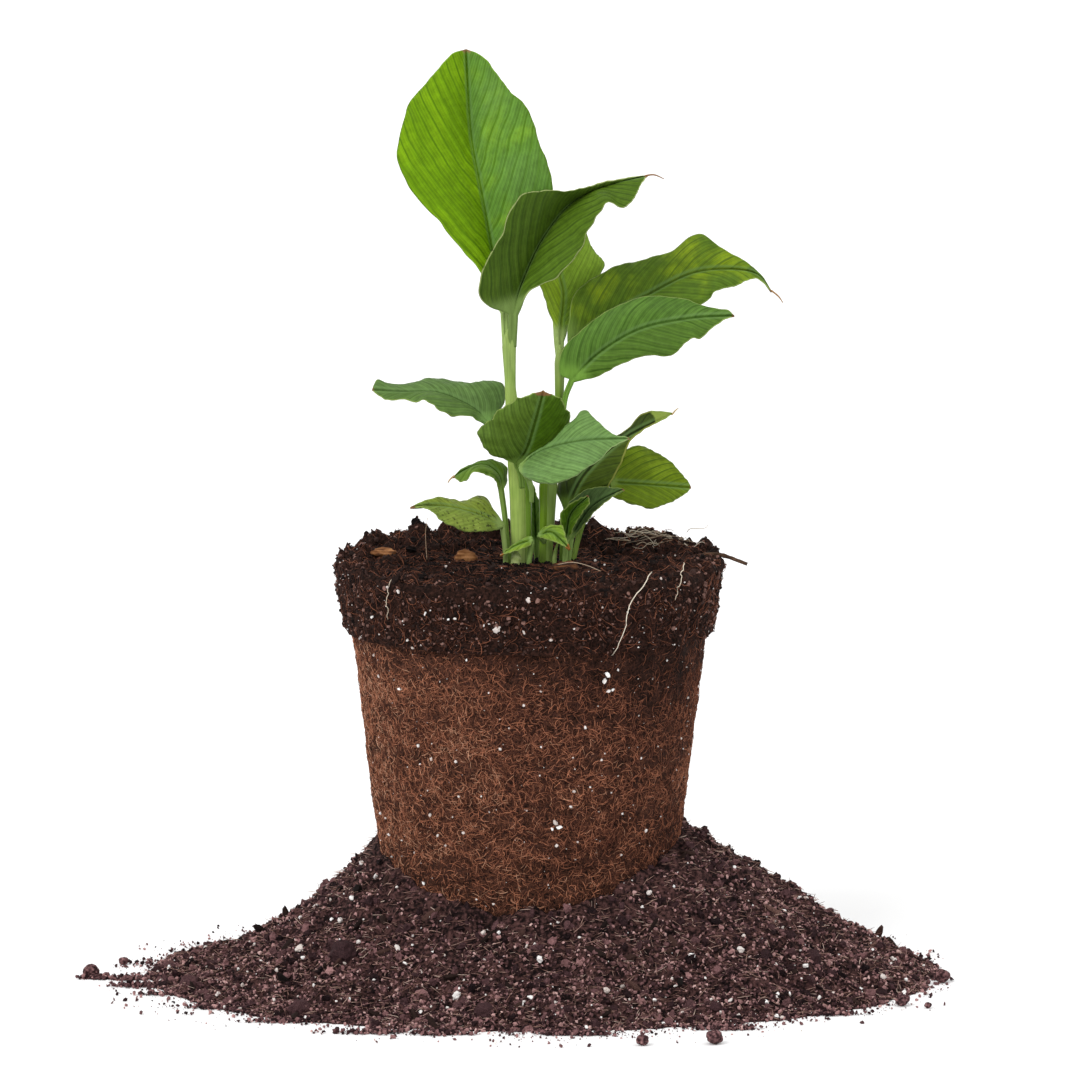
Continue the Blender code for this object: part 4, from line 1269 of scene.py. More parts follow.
BLADES = (
    Blade(
        "crown_leaf", 110, (-0.3, 3.7, 14), top=(-1.5, 0.2), shoot=LEFT_SHOOT,
        midrib=((-3, 4, 14), (-7, 9, 36), (-10, 13, 51), (-13, 18, 68), (-15, 21, 99.4)),
        left=((-9, 0, 15), (-22, 0, 31), (-35, 2, 46), (-41, 5, 59), (-38, 10, 76),
              (-31, 14, 86), (-21, 19, 97)),
        right=((12, 3, 17), (18, 5, 37), (18, 5, 50), (13, 8, 66), (8, 12, 78), (1, 15, 85),
               (-8, 19, 96.4)),
        finish=BladeFinish(
            "bright_leaf", left=(0.105, 0.215, 0.002), right=(0.075, 0.175, 0.014),
            patch=(0.16, 0.29, 0.004), patches=0.5, sheen=(0.13, 0.24, 0.07), sheen_right=0.35,
            vein_and_shade=(0.05, 0.125, 0.001), veins=0.75, spacing=8.5, petiole=(0.24, 0.34, 0.10),
            margin=(0.19, 0.34, 0.02),
        ),
        girth=(1.05, 1.45), pleat=0.24, wave=0.8, waves=3.5,
    ),
    Blade(
        "folded_leaf", 81, (0.2, -0.8, 13.7), top=(1.5, -0.2), shoot=LEFT_SHOOT,
        midrib=((5, 3, 17), (16, 4, 40), (31, 4, 58), (51, -3, 68), (69, -11, 73)),
        left=((-13, -5, 5), (-18, -10, 15), (-9, -11, 38), (0, -12, 57), (7, -11, 64),
              (20, -9, 65), (42, -6, 68), (60, -8, 72)),
        right=((9, -3, 13), (23, -11, 20), (36, -16, 38), (45, -20, 55), (49, -21, 60),
               (56, -20, 58), (63, -17, 62)),
        finish=BladeFinish(
            "leaf", left=(0.039, 0.076, 0.0059), right=(0.057, 0.11, 0.0074),
            patch=(0.067, 0.11, 0.011), vein_and_shade=(0.019, 0.043, 0.0038), veins=0.7,
            petiole=(0.13, 0.20, 0.05), margin=(0.34, 0.40, 0.15), margin_width=0.55,
            tip=(0.30, 0.22, 0.10), tip_share=0.985,
        ),
        girth=(1.3, 1.7), wave=1.2, drip=((3.2, 0.2, 0.3), (7.6, 0.5, -1.6)),
    ),
    Blade(
        "rear_leaf", 59, (-0.4, 5, 9), top=(0, 0), shoot=RIGHT_SHOOT,
        midrib=((2, 9, 15), (3, 16, 33), (-1, 24, 53), (1, 31, 76), (11, 34, 95)),
        left=((-6, 7, 17), (-15, 10, 41), (-18, 19, 58), (-10, 29, 80)),
        right=((12, 19, 18), (32, 35, 48), (26, 39, 60), (16, 38, 83)),
        finish=BladeFinish(
            "old_leaf", left=(0.165, 0.256, 0.0099), right=(0.148, 0.247, 0.0198),
            patch=(0.231, 0.33, 0.0495), vein_and_shade=(0.0825, 0.14, 0.0099), petiole=(0.22, 0.30, 0.09),
            spacing=4,
        ),
        girth=(1.2, 1.7),
    ),
    Blade(
        "upper_right_leaf", 90, (1.0, 2.5, 9), shoot=RIGHT_SHOOT, height=80, bearing=25,
        midrib=((10, 5, 12), (36, 12, 25), (57, 16, 35), (75, 16, 37), (88, 12, 35),
                (95, 10, 27)),
        left=((-1, -1, 12), (2, 4, 26), (16, 14, 36), (36, 21, 42), (47, 24, 44), (60, 25, 53),
              (71, 20, 47), (86, 14, 38)),
        right=((15, 1, 2), (41, 2, 12), (63, 5, 22), (70, 6, 28), (80, 8, 31), (87, 9, 33)),
        finish=BladeFinish(
            "leaf", left=(0.065, 0.12, 0.009), right=(0.07, 0.13, 0.011),
            patch=(0.2, 0.28, 0.0078), patches=0.6, vein_and_shade=(0.034, 0.068, 0.0056),
            petiole=(0.13, 0.21, 0.04),
        ),
        wave=1.3, waves=4, drip=((2.5, -0.6, -2.0), (4.6, -1.0, -5.0)),
    ),
    Blade(
        "lower_right_leaf", 74, (3.5, -1.2, 13), shoot=RIGHT_SHOOT, height=64.5, bearing=-50,
        bends=((1.0, -0.4, 6.5),),
        midrib=((15, -5, 16), (39, -13, 31), (68, -23, 38), (91, -31, 40)),
        left=((-7, 0, 4), (-5, -1, 18), (10, -3, 33), (34, -7, 47), (55, -13, 49),
              (74, -21, 45), (87, -28, 43)),
        right=((15, -5, 3), (38, -17, 15), (57, -24, 17), (67, -29, 27), (73, -30, 28),
               (85, -31, 37)),
        finish=BladeFinish(
            "leaf", left=(0.054, 0.12, 0.012), right=(0.06, 0.12, 0.015),
            patch=(0.082, 0.16, 0.021), sheen_left=0.2, vein_and_shade=(0.027, 0.069, 0.0055),
            petiole=(0.14, 0.27, 0.04), tip_share=0.985,
            tip=(0.12, 0.06, 0.02),
            veins=0.75,
        ),
        wave=1.1,
    ),
    Blade(
        "left_leaf", 52, (-6.5, 1.0, 9), shoot=LEFT_SHOOT, height=49.5, bearing=160,
        bends=((-3.5, 0.6, 5.5),),
        midrib=((-14, 5, 13), (-40, 9, 24), (-68, 11, 25), (-95, 16, 26)),
        left=((12, 15, 14), (10, 23, 30), (-22, 28, 31), (-37, 28, 33), (-58, 26, 32),
              (-79, 25, 29), (-90, 21, 34)),
        right=((-16, -10, 6), (-35, -13, 10), (-51, -9, 18), (-69, 2, 19), (-84, 9, 18)),
        finish=BladeFinish(
            "leaf", left=(0.078, 0.14, 0.036), right=(0.071, 0.13, 0.028), patch=(0.093, 0.16, 0.043),
            sheen_left=0.25, vein_and_shade=(0.039, 0.082, 0.014), petiole=(0.14, 0.25, 0.065),
        ),
        wave=1.2,
    ),
    Blade(
        "front_left_leaf", 42, (-2.5, -2.4, 11), shoot=LEFT_SHOOT, height=32, bearing=-75,
        bends=((-0.6, -0.9, 6),),
        midrib=((10, -10, 15), (18, -31, 42), (27, -57, 78)),
        left=((-20, -7, 7), (-35, -14, 21), (-38, -19, 32), (-28, -26, 46), (-4, -45, 67),
              (14, -55, 76)),
        right=((21, -7, 3), (43, -14, 22), (54, -26, 46), (43, -52, 72)),
        finish=BladeFinish(
            "leaf", left=(0.068, 0.12, 0.011), right=(0.046, 0.1, 0.0044),
            patch=(0.082, 0.14, 0.022), sheen_left=0.15, vein_and_shade=(0.033, 0.066, 0.0055),
            petiole=(0.13, 0.22, 0.04), tip=(0.17, 0.09, 0.035), tip_share=0.93,
        ),
        wave=1.0, scallop=0.8,
    ),
    Blade(
        "front_right_leaf", 52, (-4.5, -9.0, 16), shoot=LEFT_SHOOT, height=26, bearing=-40,
        bends=((-0.5, -4.0, 8),),
        midrib=((17, -14, 15), (48, -33, 25), (87, -41, 28)),
        left=((7, -6, 10), (28, -15, 25), (41, -21, 41), (52, -25, 49), (63, -31, 39),
              (75, -37, 31)),
        right=((0, -12, -4), (14, -37, -9), (36, -52, -5), (54, -52, 5), (73, -44, 20)),
        finish=BladeFinish(
            "leaf", left=(0.1, 0.19, 0.043), right=(0.10, 0.185, 0.045),
            patch=(0.088, 0.16, 0.029), sheen=(0.14, 0.25, 0.085), sheen_left=0.35, sheen_right=0.5,
            vein_and_shade=(0.053, 0.11, 0.021), veins=0.5, margin=(0.26, 0.36, 0.14),
            petiole=(0.22, 0.34, 0.09),
        ),
        wave=1.2,
    ),
    Blade(
        "curled_leaf", 22, (-4.0, 6.4, 30.6), beside=0.2, shoot=LEFT_SHOOT, bearing=-135,
        bends=((-1.2, 2.2, 7), (-2.4, 5.4, 19)),
        midrib=((-6, 4, 29), (-33, -5, 48), (-67, -24, 42), (-92, -41, 29)),
        left=((12, 18, 15), (6, 27, 45), (-21, 20, 55), (-67, -19, 47)),
        right=((-13, -20, 20), (-40, -44, 38), (-58, -50, 33), (-73, -48, 19)),
        finish=BladeFinish(
            "leaf", left=(0.07, 0.13, 0.012), right=(0.09, 0.16, 0.02), patch=(0.12, 0.20, 0.02),
            petiole=(0.16, 0.25, 0.05), tip_share=0.96,
        ),
        wave=0.6, drip=((-1.2, -0.6, -1.0), (-2.2, -1.0, -2.6)),
    ),
    Blade(
        "speckled_leaf", 42, (-1.3, 1.4, 16), soil=(-9.8, -7.4), bends=((-0.2, 0.2, 7),),
        midrib=((-25, -11, 14), (-57, -29, 24), (-91, -52, 26)),
        left=((-6, 9, 12), (-17, 17, 26), (-25, 16, 28), (-43, 4, 25), (-66, -29, 33)),
        right=((-13, -19, -3), (-33, -36, -1), (-54, -48, 7), (-73, -52, 23)),
        finish=BladeFinish(
            "old_leaf", left=(0.168, 0.226, 0.0315), right=(0.158, 0.221, 0.0368),
            patch=(0.231, 0.263, 0.0525), spots=0.75, vein_and_shade=(0.105, 0.158, 0.021), veins=0.4,
            petiole=(0.2, 0.28, 0.08), tip_share=0.95,
        ),
        wave=0.7,
    ),
    Blade(
        "right_low_leaf", 35, (15.2, 3, 33), soil=(18.6, 5), bends=((3.8, 2, 14.6), (9.7, 3, 25.8)),
        midrib=((44, 18, -5), (100, 34, -11)),
        left=((4, 12, 21), (31, 35, 40), (60, 43, 30), (87, 40, 8)),
        right=((4, -8, -16), (30, -12, -27), (57, -3, -31), (86, 22, -22)),
        finish=BladeFinish(
            "bright_leaf", left=(0.089, 0.14, 0.004), right=(0.096, 0.15, 0.0061),
            patch=(0.15, 0.22, 0.012), patches=0.6, vein_and_shade=(0.04, 0.081, 0.004), veins=0.8,
            spacing=5, petiole=(0.15, 0.23, 0.04),
        ),
        wave=0.7,
    ),
    Blade(
        "long_tip_leaf", 61, (1.7, 0, 21.3), soil=(13.9, 3), bends=((0.4, 0, 10.2),),
        midrib=((13, -1, 26), (40, 3, 50), (74, 8, 67)),
        left=((-6, 10, 18), (15, 12, 41), (38, 8, 53), (53, 8, 67), (63, 7, 69)),
        right=((21, 1, 8), (32, -1, 21), (40, -2, 38), (47, 2, 51), (64, 7, 61)),
        finish=BladeFinish(
            "leaf", left=(0.022, 0.038, 0.007), right=(0.05, 0.08, 0.008),
            patch=(0.10, 0.15, 0.015), patches=0.2, vein_and_shade=(0.012, 0.022, 0.004),
            margin=(0.24, 0.26, 0.05), margin_width=0.9, petiole=(0.12, 0.2, 0.03),
            tip=(0.24, 0.32, 0.06), tip_share=0.86,
        ),
        wave=0.9, drip=((1.2, 0, 1.4), (2.4, 0.2, 2.2)),
    ),
    Blade(
        "dark_low_leaf", 31, (1.3, 0, 11), soil=(16.4, -4), bends=((0.5, 0, 4.5),),
        midrib=((28, -10, 43), (71, -16, 68)),
        left=((-11, 6, 26), (1, 6, 51), (27, -3, 68), (52, -10, 70)),
        right=((23, -16, 25), (36, -22, 41), (55, -22, 57)),
        finish=BladeFinish(
            "leaf", left=(0.055, 0.095, 0.028), right=(0.065, 0.105, 0.032),
            patch=(0.09, 0.14, 0.05), vein_and_shade=(0.03, 0.055, 0.015),
        ),
        wave=0.5,
    ),
    Blade(
        "young_leaf", 21, (0.4, 0, 10.6), soil=(15.1, -9),
        midrib=((10, 0, 52), (44, -9, 89)),
        left=((-12, -14, 36), (-8, -14, 60), (20, -14, 82)),
        right=((22, -19, 39), (38, -24, 63), (48, -19, 79)),
        finish=BladeFinish(
            "bright_leaf", left=(0.0475, 0.104, 0.0038), right=(0.076, 0.152, 0.0095),
            patch=(0.142, 0.247, 0.019), patches=0.4, spacing=4,
        ),
        wave=0.4,
    ),
    Blade(
        "low_left_leaf", 15, (1.3, -0.4, 10.4), soil=(-0.1, -8),
        midrib=((-42, -7, -13), (-90, -13, -41)),
        left=((-6, 7, 11), (-40, 0, -4)),
        right=((-11, -20, -17), (-54, -27, -31)),
        finish=BladeFinish(
            "bright_leaf", left=(0.17, 0.275, 0.025), right=(0.19, 0.29, 0.03),
            patch=(0.22, 0.31, 0.05), tip=(0.30, 0.13, 0.03), tip_share=0.88, spacing=4,
        ),
        wave=0.3, pleat=0.15,
    ),
    Blade(
        "low_right_leaf", 16, (-2.0, -3.4, 3.4), shoot=RIGHT_SHOOT, height=9, bearing=-100,
        midrib=((35, -36, 11), (78, -80, -26)),
        left=((19, -16, 27), (59, -48, 32), (67, -68, 11)),
        right=((19, -48, -6), (54, -78, -14)),
        finish=BladeFinish(
            "old_leaf", left=(0.17, 0.28, 0.03), right=(0.16, 0.26, 0.03),
            patch=(0.22, 0.31, 0.05), tip=(0.30, 0.13, 0.03), tip_share=0.9, spacing=4,
        ),
        wave=0.3, pleat=0.15,
    ),
    Blade(
        "rear_young_leaf", 25, (-0.4, 0, 6.5), soil=(3.3, 9),
        midrib=((-2, 0, 52), (-5, 4, 100)),
        left=((-10, -4, 26), (-12, 0, 69)),
        right=((9, -4, 26), (7, 0, 64)),
        finish=BladeFinish(
            "leaf", left=(0.10, 0.19, 0.02), right=(0.11, 0.2, 0.025), spacing=4,
        ),
        wave=0.4,
    ),
)


# --- soil -------------------------------------------------------------------------------


def turns_round(count: int) -> np.ndarray:
    """Evenly spread angles round the vertical axis."""
    return TURN * np.arange(count) / count


def polar(turn: np.ndarray, radius: np.ndarray, level: np.ndarray) -> np.ndarray:
    """Points from angles, distances from the axis and heights."""
    turn, radius, level = np.broadcast_arrays(turn, radius, level)
    return np.stack([radius * np.cos(turn), radius * np.sin(turn), level], -1)


def lumps(points: np.ndarray, grain: float, seed: float = 0.0) -> np.ndarray:
    """roughen() for points in an array of any shape."""
    return roughen(points.reshape(-1, 3), grain, seed).reshape(points.shape[:-1])


@dataclass
class RootBall:
    """The bare root ball: a cast of its pot, with a rim band and a crumbly top."""

    floor: float = 19 * MM
    side: float = 129.5 * MM
    band: float = 28.5 * MM
    foot_radius: float = 58.5 * MM
    side_radius: float = 74.5 * MM
    step: float = 3 * MM
    top_radius: float = 81.5 * MM
    planted: float = 28 * MM
    rim_rise: float = 3 * MM
    rim_tilt: float = 5 * MM
    rim_edge: float = 2 * MM
    top_lump: float = 3 * MM
    turns: int = 400

    @property
    def ledge(self) -> float:
        """Height of the rim band's foot."""
        return self.floor + self.side

    def radius_at(self, level: np.ndarray) -> np.ndarray:
        """Radius of the tapering side at a height."""
        return self.foot_radius + (level - self.floor) / self.side * (self.side_radius - self.foot_radius)

    def soil_height(self, x: np.ndarray, y: np.ndarray) -> np.ndarray:
        """Height of the top: level round the shoots, lumpy outside and raised at the rim.

        Args:
            x: places across, in metres.
            y: places in depth, in metres.

        Returns:
            The heights.
        """
        out = (np.hypot(x, y) - self.planted) / (self.top_radius - self.planted)
        rim = self.rim_rise + self.rim_tilt * y / self.top_radius
        wide = lumps(np.stack([x, y, np.full_like(x, 0.5)], -1), 25)
        near = lumps(np.stack([x, y, np.full_like(x, 0.1)], -1), 11)
        return SOIL_LEVEL + rim * ease(out) * (0.75 + 0.5 * wide) + self.top_lump * ease(3 * out) * near

    def side_points(self, turn: np.ndarray, level: np.ndarray, lift: Lift = 0.0) -> np.ndarray:
        """Points on the rough side, or above it by lift.

        Args:
            turn: angles round Z.
            level: heights.
            lift: height above the surface, in metres.

        Returns:
            The points.
        """
        plain = polar(turn, self.radius_at(level), level)
        relief = 0.7 * lumps(plain, 14) + 0.5 * lumps(plain, 5, 3) + 0.3 * lumps(plain, 1.8, 7)
        return polar(turn, self.radius_at(level) + relief * MM + lift, level)

    def crest(self, turn: np.ndarray) -> np.ndarray:
        """Height of the band's upper edge at an angle.

        Args:
            turn: angles round Z.

        Returns:
            The heights.
        """
        rim = polar(turn, self.top_radius, 0.0)
        ragged = 2.2 * lumps(rim, 12, 2) + 1.8 * lumps(rim, 4.5, 9)
        return self.soil_height(rim[..., 0], rim[..., 1]) - self.rim_edge + ragged * MM

    def band_points(self, turn: np.ndarray, share: np.ndarray, lift: Lift = 0.0) -> np.ndarray:
        """Points on the rim band, from its foot at 0 to its crest at 1, or above it by lift.

        Args:
            turn: angles round Z.
            share: shares of the band's height.
            lift: height above the surface, in metres.

        Returns:
            The points.
        """
        foot = self.side_radius + self.step
        radius = foot + share * (self.top_radius - foot)
        level = self.ledge + share * (self.crest(turn) - self.ledge)
        plain = polar(turn, radius, level)
        relief = 1.2 * lumps(plain, 9, 4) + 1.2 * lumps(plain, 3.5, 6) + 0.7 * lumps(plain, 1.7, 8)
        return polar(turn, radius + relief * MM + lift, level)

    def top_points(self, turn: np.ndarray, share: np.ndarray, lift: Lift = 0.0) -> np.ndarray:
        """Points on the top, at shares of its radius, or above it by lift.

        Args:
            turn: angles round Z.
            share: shares of the radius.
            lift: height above the surface, in metres.

        Returns:
            The points.
        """
        plain = polar(turn, share * self.top_radius, 0.0)
        outer = ease((share - 0.3) / 0.3) * (1 + 0.6 * np.maximum(np.sin(turn), 0))
        level = self.soil_height(plain[..., 0], plain[..., 1])
        relief = (0.8 + 3.0 * outer) * lumps(plain, 9, 2) + (0.5 + 1.8 * outer) * lumps(plain, 3.6, 5)
        return polar(turn, share * self.top_radius, level + relief * MM + lift)

    def skin(self) -> Skin:
        """The whole surface.

        Returns:
            The skin.
        """
        turn = turns_round(self.turns)[None]
        sunk = np.array([0.001, 0.5, 1.0])[:, None]
        foot = self.foot_radius - 4 * MM
        bottom = polar(turn, foot * sunk, np.full_like(sunk, self.floor))
        buried = np.linspace(self.floor + 4 * MM, 0.034, 4)
        levels = np.concatenate([buried, np.linspace(0.036, self.ledge, 100)])
        side = self.side_points(turn, levels[:, None])
        band = self.band_points(turn, np.linspace(0.0, 1, 34)[:, None])
        inward = np.concatenate([np.linspace(0.985, 0.3, 46), np.linspace(0.26, 0.001, 6)])
        return Skin(np.concatenate([bottom, side, band, self.top_points(turn, inward[:, None])]))

    def cover_and_shade(self, turn: np.ndarray, level: np.ndarray) -> np.ndarray:
        """Root density on the side, from 0 to 1, lower at the upper right; it also sets painted shade,
        darker to the right.

        Args:
            turn: angles round Z.
            level: heights.

        Returns:
            The density, which also sets the painted shade.
        """
        spot = polar(turn, self.side_radius, level)
        high = ease((level - 0.095) / 0.05)
        right = 0.5 + 0.5 * np.cos(turn + 0.35)
        # fewer roots towards the right, together with painted shade there
        return np.clip(1.0 - 0.42 * right - 0.52 * high * right**1.5 + 0.28 * lumps(spot, 20, 31), 0, 1)

    def fibres(
        self,
        name: str,
        rng: Random,
        count: int,
        levels: tuple[float, float],
        thick: tuple[float, float],
        shades: tuple[float, float],
    ) -> bpy.types.Object:
        """Fine roots on the side, whose neighbours run nearly the same way.

        Args:
            name: the piece's name.
            rng: the source of chance.
            count: how many roots.
            levels: the lowest and the highest start.
            thick: their least and greatest radius, in millimetres.
            shades: the darkest and the lightest shade.

        Returns:
            The object.
        """
        steps = 6
        turn = rng.uniform(0, TURN, 3 * count)
        level = rng.uniform(*levels, 3 * count)
        kept = rng.uniform(0, 1, 3 * count) < 0.3 + 0.7 * self.cover_and_shade(turn, level)
        turn, level = turn[kept][:count], level[kept][:count]
        count = len(turn)
        # painted shade: the roots darken towards the right, where they are also fewer
        shade = rng.uniform(*shades, count) * (0.4 + 0.6 * self.cover_and_shade(turn, level))
        stride = rng.uniform(3.2, 9.5, count) * MM / (steps - 1)
        drift = rng.normal(0, 1.3, count)
        bend = rng.normal(0, 0.42, count)
        phase = rng.uniform(0, TURN, count)
        paths = np.empty((count, steps, 3))
        for k in range(steps):
            lift = (0.15 + 0.36 * np.sin(phase + 1.3 * k)) * MM
            paths[:, k] = self.side_points(turn, level, lift)
            spot = polar(turn, self.radius_at(level), level)
            heading = math.pi * (0.5 + 1.6 * lumps(spot, 26, 11) + 0.6 * lumps(spot, 8, 12)) + drift
            drift = drift + bend
            turn = turn + stride * np.cos(heading) / self.radius_at(level)
            level = np.clip(level + stride * np.sin(heading), 0.034, self.ledge - 0.0006)
        radii = rng.uniform(*thick, count) * MM
        return Strands(name, ROOT_MAT).build(paths, radii, shade)

    def crumbs(self, name: str, rng: Random, count: int) -> bpy.types.Object:
        """Crumbs of dark soil on the band and the top.

        Args:
            name: the piece's name.
            rng: the source of chance.
            count: how many.

        Returns:
            The object.
        """
        on_band = int(count * 0.42)
        turn = rng.uniform(0, TURN, on_band)
        band = self.band_points(turn, rng.uniform(0, 1, on_band) ** 0.8, 0.2 * MM)
        rest = count - on_band
        turn = rng.uniform(0, TURN, rest)
        top = self.top_points(turn, np.sqrt(rng.uniform(0, 0.98, rest)), 0.2 * MM)
        radii = (0.28 + 0.75 * rng.uniform(0, 1, count) ** 2) * MM
        places = np.concatenate([band, top])
        out = np.hypot(places[:, 0], places[:, 1]) / self.top_radius
        # darker towards the middle of the top: painted shade in its hollow
        shades = rng.beta(1.6, 2.0, count) * (0.12 + 1.32 * ease((out - 0.62) / 0.36))
        return Grains(name, DARK_CRUMB, uneven=0.45, slim=0.45).build(rng, places, radii, shades)

    def build(self, rng: Random) -> None:
        """Makes the ball's skin, its roots and its crumbs.

        Args:
            rng: the source of chance.
        """
        skin = self.skin()
        level = skin.rings[..., 2]
        turn = np.arctan2(skin.rings[..., 1], skin.rings[..., 0])
        on_side = ease((self.ledge + 0.001 - level) / 0.002)
        cover_and_shade = self.cover_and_shade(turn, level)
        # web follows the roots; shade is painted shade, darker towards the right of the side
        attributes = {"web": 0.15 + 0.75 * cover_and_shade * on_side, "shade": 0.12 + 0.36 * cover_and_shade * on_side}
        skin.build("ball_soil", BALL_GROUND, ("root_ball",), attributes)
        low, high = 0.036, self.ledge - 0.001
        zones = (
            ("low", low, 0.075), ("lower", 0.060, 0.096), ("middle", 0.082, 0.118), ("upper", 0.104, 0.134))
        for zone, bottom, top in zones:
            self.fibres("ball_roots_" + zone, rng, 5800, (bottom, top), (0.085, 0.16), (0.0, 1.1))
        self.fibres("ball_roots_high", rng, 5000, (0.122, high), (0.08, 0.15), (0.05, 1.05))
        self.fibres("ball_roots_light", rng, 700, (low, high), (0.06, 0.11), (1.0, 1.5))
        self.band_roots(rng, 3400)
        self.ball_lumps(rng, 260)
        self.crumbs("ball_crumbs", rng, 8600)
        self.white_grains(rng)
        self.pale_roots()

    def ball_lumps(self, rng: Random, count: int) -> bpy.types.Object:
        """Larger lumps of dark soil on the rim and the outer part of the top.

        Args:
            rng: the source of chance.
            count: how many.

        Returns:
            The object.
        """
        turn = rng.uniform(0, TURN, count)
        share = 1 - 0.6 * rng.uniform(0, 1, count) ** 1.6
        places = self.top_points(turn, share - 0.02, -0.2 * MM)
        radii = rng.uniform(1.0, 1.6, count) ** 1.6 * MM
        return Grains("ball_lumps", DARK_CRUMB, Grain.FULL, 0.38, 0.35).build(
            rng, places, radii, rng.beta(1.8, 4.0, count))

    def band_roots(self, rng: Random, count: int) -> bpy.types.Object:
        """Sparse fine roots and fibres on the band and the top.

        Args:
            rng: the source of chance.
            count: how many.

        Returns:
            The object.
        """
        steps = 7
        half = count // 2
        grow = np.linspace(-0.5, 0.5, steps)[None]
        turn = rng.uniform(0, TURN, (half, 1))
        share = rng.uniform(0.03, 0.97, (half, 1))
        heading = rng.uniform(0, math.pi, (half, 1)) + grow * rng.normal(0, 1.2, (half, 1))
        long = rng.uniform(3, 12, (half, 1)) * MM
        band = self.band_points(
            turn + long * grow * np.cos(heading) / self.top_radius,
            np.clip(share + long * grow * np.sin(heading) / self.band, 0, 1),
            rng.uniform(0.1, 0.8, (half, 1)) * MM,
        )
        share = np.sqrt(rng.uniform(0.02, 0.98, (half, 1)))
        reach = long * grow * np.sin(heading) / self.top_radius
        top = self.top_points(
            turn + long * grow * np.cos(heading) / (self.top_radius * np.maximum(share, 0.3)),
            np.clip(share + reach, 0.02, 1.0),
            rng.uniform(0.1, 1.2, (half, 1)) * MM,
        )
        paths = np.concatenate([band, top])
        radii = rng.uniform(0.06, 0.14, len(paths)) * MM
        return Strands("band_roots", ROOT_MAT).build(paths, radii, 0.72 * rng.beta(1.4, 2.2, len(paths)))

    def white_grains(self, rng: Random) -> bpy.types.Object:
        """White grains in the side, the band and the top.

        Args:
            rng: the source of chance.

        Returns:
            The object.
        """
        on_side, on_band, on_top = 420, 270, 70
        turn = rng.uniform(0, TURN, on_side)
        side = self.side_points(turn, rng.uniform(0.04, self.ledge, on_side), 0.35 * MM)
        turn = rng.uniform(0, TURN, on_band)
        band = self.band_points(turn, rng.uniform(0, 1, on_band), 0.2 * MM)
        turn = rng.uniform(0, TURN, on_top)
        top = self.top_points(turn, np.sqrt(rng.uniform(0.02, 0.98, on_top)), 0.3 * MM)
        places = np.concatenate([side, band, top, np.array(self.LARGE_GRAINS)[:, :3] * MM])
        sizes = 0.18 + 0.72 * rng.uniform(0, 1, on_side + on_band + on_top) ** 3.6
        radii = np.concatenate([sizes, np.array(self.LARGE_GRAINS)[:, 3]]) * MM
        return Grains("ball_white_grains", WHITE_GRAIN, Grain.FULL, 0.3, 0.5).build(
            rng, places, radii, rng.uniform(0, 1, len(places)))

    # (x, y, z, radius) in millimetres
    LARGE_GRAINS = (
        (32.6, -66.6, 138.8, 1.3), (31.2, -66.4, 136.2, 1.0), (-13.1, -77.9, 159.3, 1.6),
        (-0.3, -80.6, 172.1, 1.5), (-53.7, -48.6, 130.2, 1.0), (11.0, -65.2, 76.6, 1.2),
        (12.6, -65.0, 74.6, 1.1), (9.6, -65.2, 74.0, 0.9),
    )
    # paths in millimetres, with the root's radius and shade
    PALE_ROOTS = (
        (((51, -60, 180.5), (48.8, -66, 178.7), (43, -73, 171), (40.1, -77, 164), (38.9, -77.6, 157.9),
          (36.5, -75.5, 151), (33.5, -68.8, 147.2)), 0.22, 0.8),
        (((64.3, -49, 183), (63.5, -52, 180), (62.8, -54, 176), (60.5, -57.0, 169)), 0.2, 0.65),
        (((-57.4, -58.3, 177.1), (-58.9, -57.5, 169), (-58.3, -57.2, 160.5)), 0.18, 0.6),
        (((-43, -8, 179), (-43.6, -6, 190), (-42.6, -5, 197)), 0.16, 0.1),
        (((12, -38, 181), (18, -46, 183), (24, -48, 182), (30, -52, 180)), 0.2, 0.3),
    )
    # the tangle of fine roots at the right rear: its middle and its half size, in millimetres
    TANGLE = ((55, 30, 183.5), (13, 11, 3))

    def pale_roots(self) -> bpy.types.Object:
        """The few thick pale roots that hang over the rim, and a tangle of thin ones.

        Returns:
            The object.
        """
        rng = np.random.default_rng(7)
        shares = np.linspace(0, 1, 24)
        paths = [smooth_curve(np.array(path) * MM, shares) for path, _, _ in self.PALE_ROOTS]
        for number in range(3):
            wander = np.stack([ripple(shares, 2.6, 10 * number + k) for k in range(3)], 1)
            paths[number] += wander * 0.6 * MM
        radii = [radius for _, radius, _ in self.PALE_ROOTS]
        shades = [shade for _, _, shade in self.PALE_ROOTS]
        middle, half = (np.array(row) * MM for row in self.TANGLE)
        for _ in range(34):
            start = middle + half * rng.uniform(-1, 1, 3)
            way = unit(rng.normal(size=3) * (1.2, 0.8, 0.18)) * rng.uniform(6, 16) * MM
            side = unit(rng.normal(size=3)) * rng.uniform(0.6, 2.4) * MM
            bends = ((0.3, 1.0), (0.7, -0.4), (1.0, 0.6))
            bent = [start] + [start + way * ahead + side * aside for ahead, aside in bends]
            paths.append(smooth_curve(bent, shares))
            radii.append(rng.uniform(0.08, 0.19))
            shades.append(rng.uniform(0.1, 0.9))
        thick = np.array(radii) * MM
        return Strands("pale_roots", PALE_ROOT, sides=6, taper=0.55).build(
            np.array(paths), thick, np.array(shades))


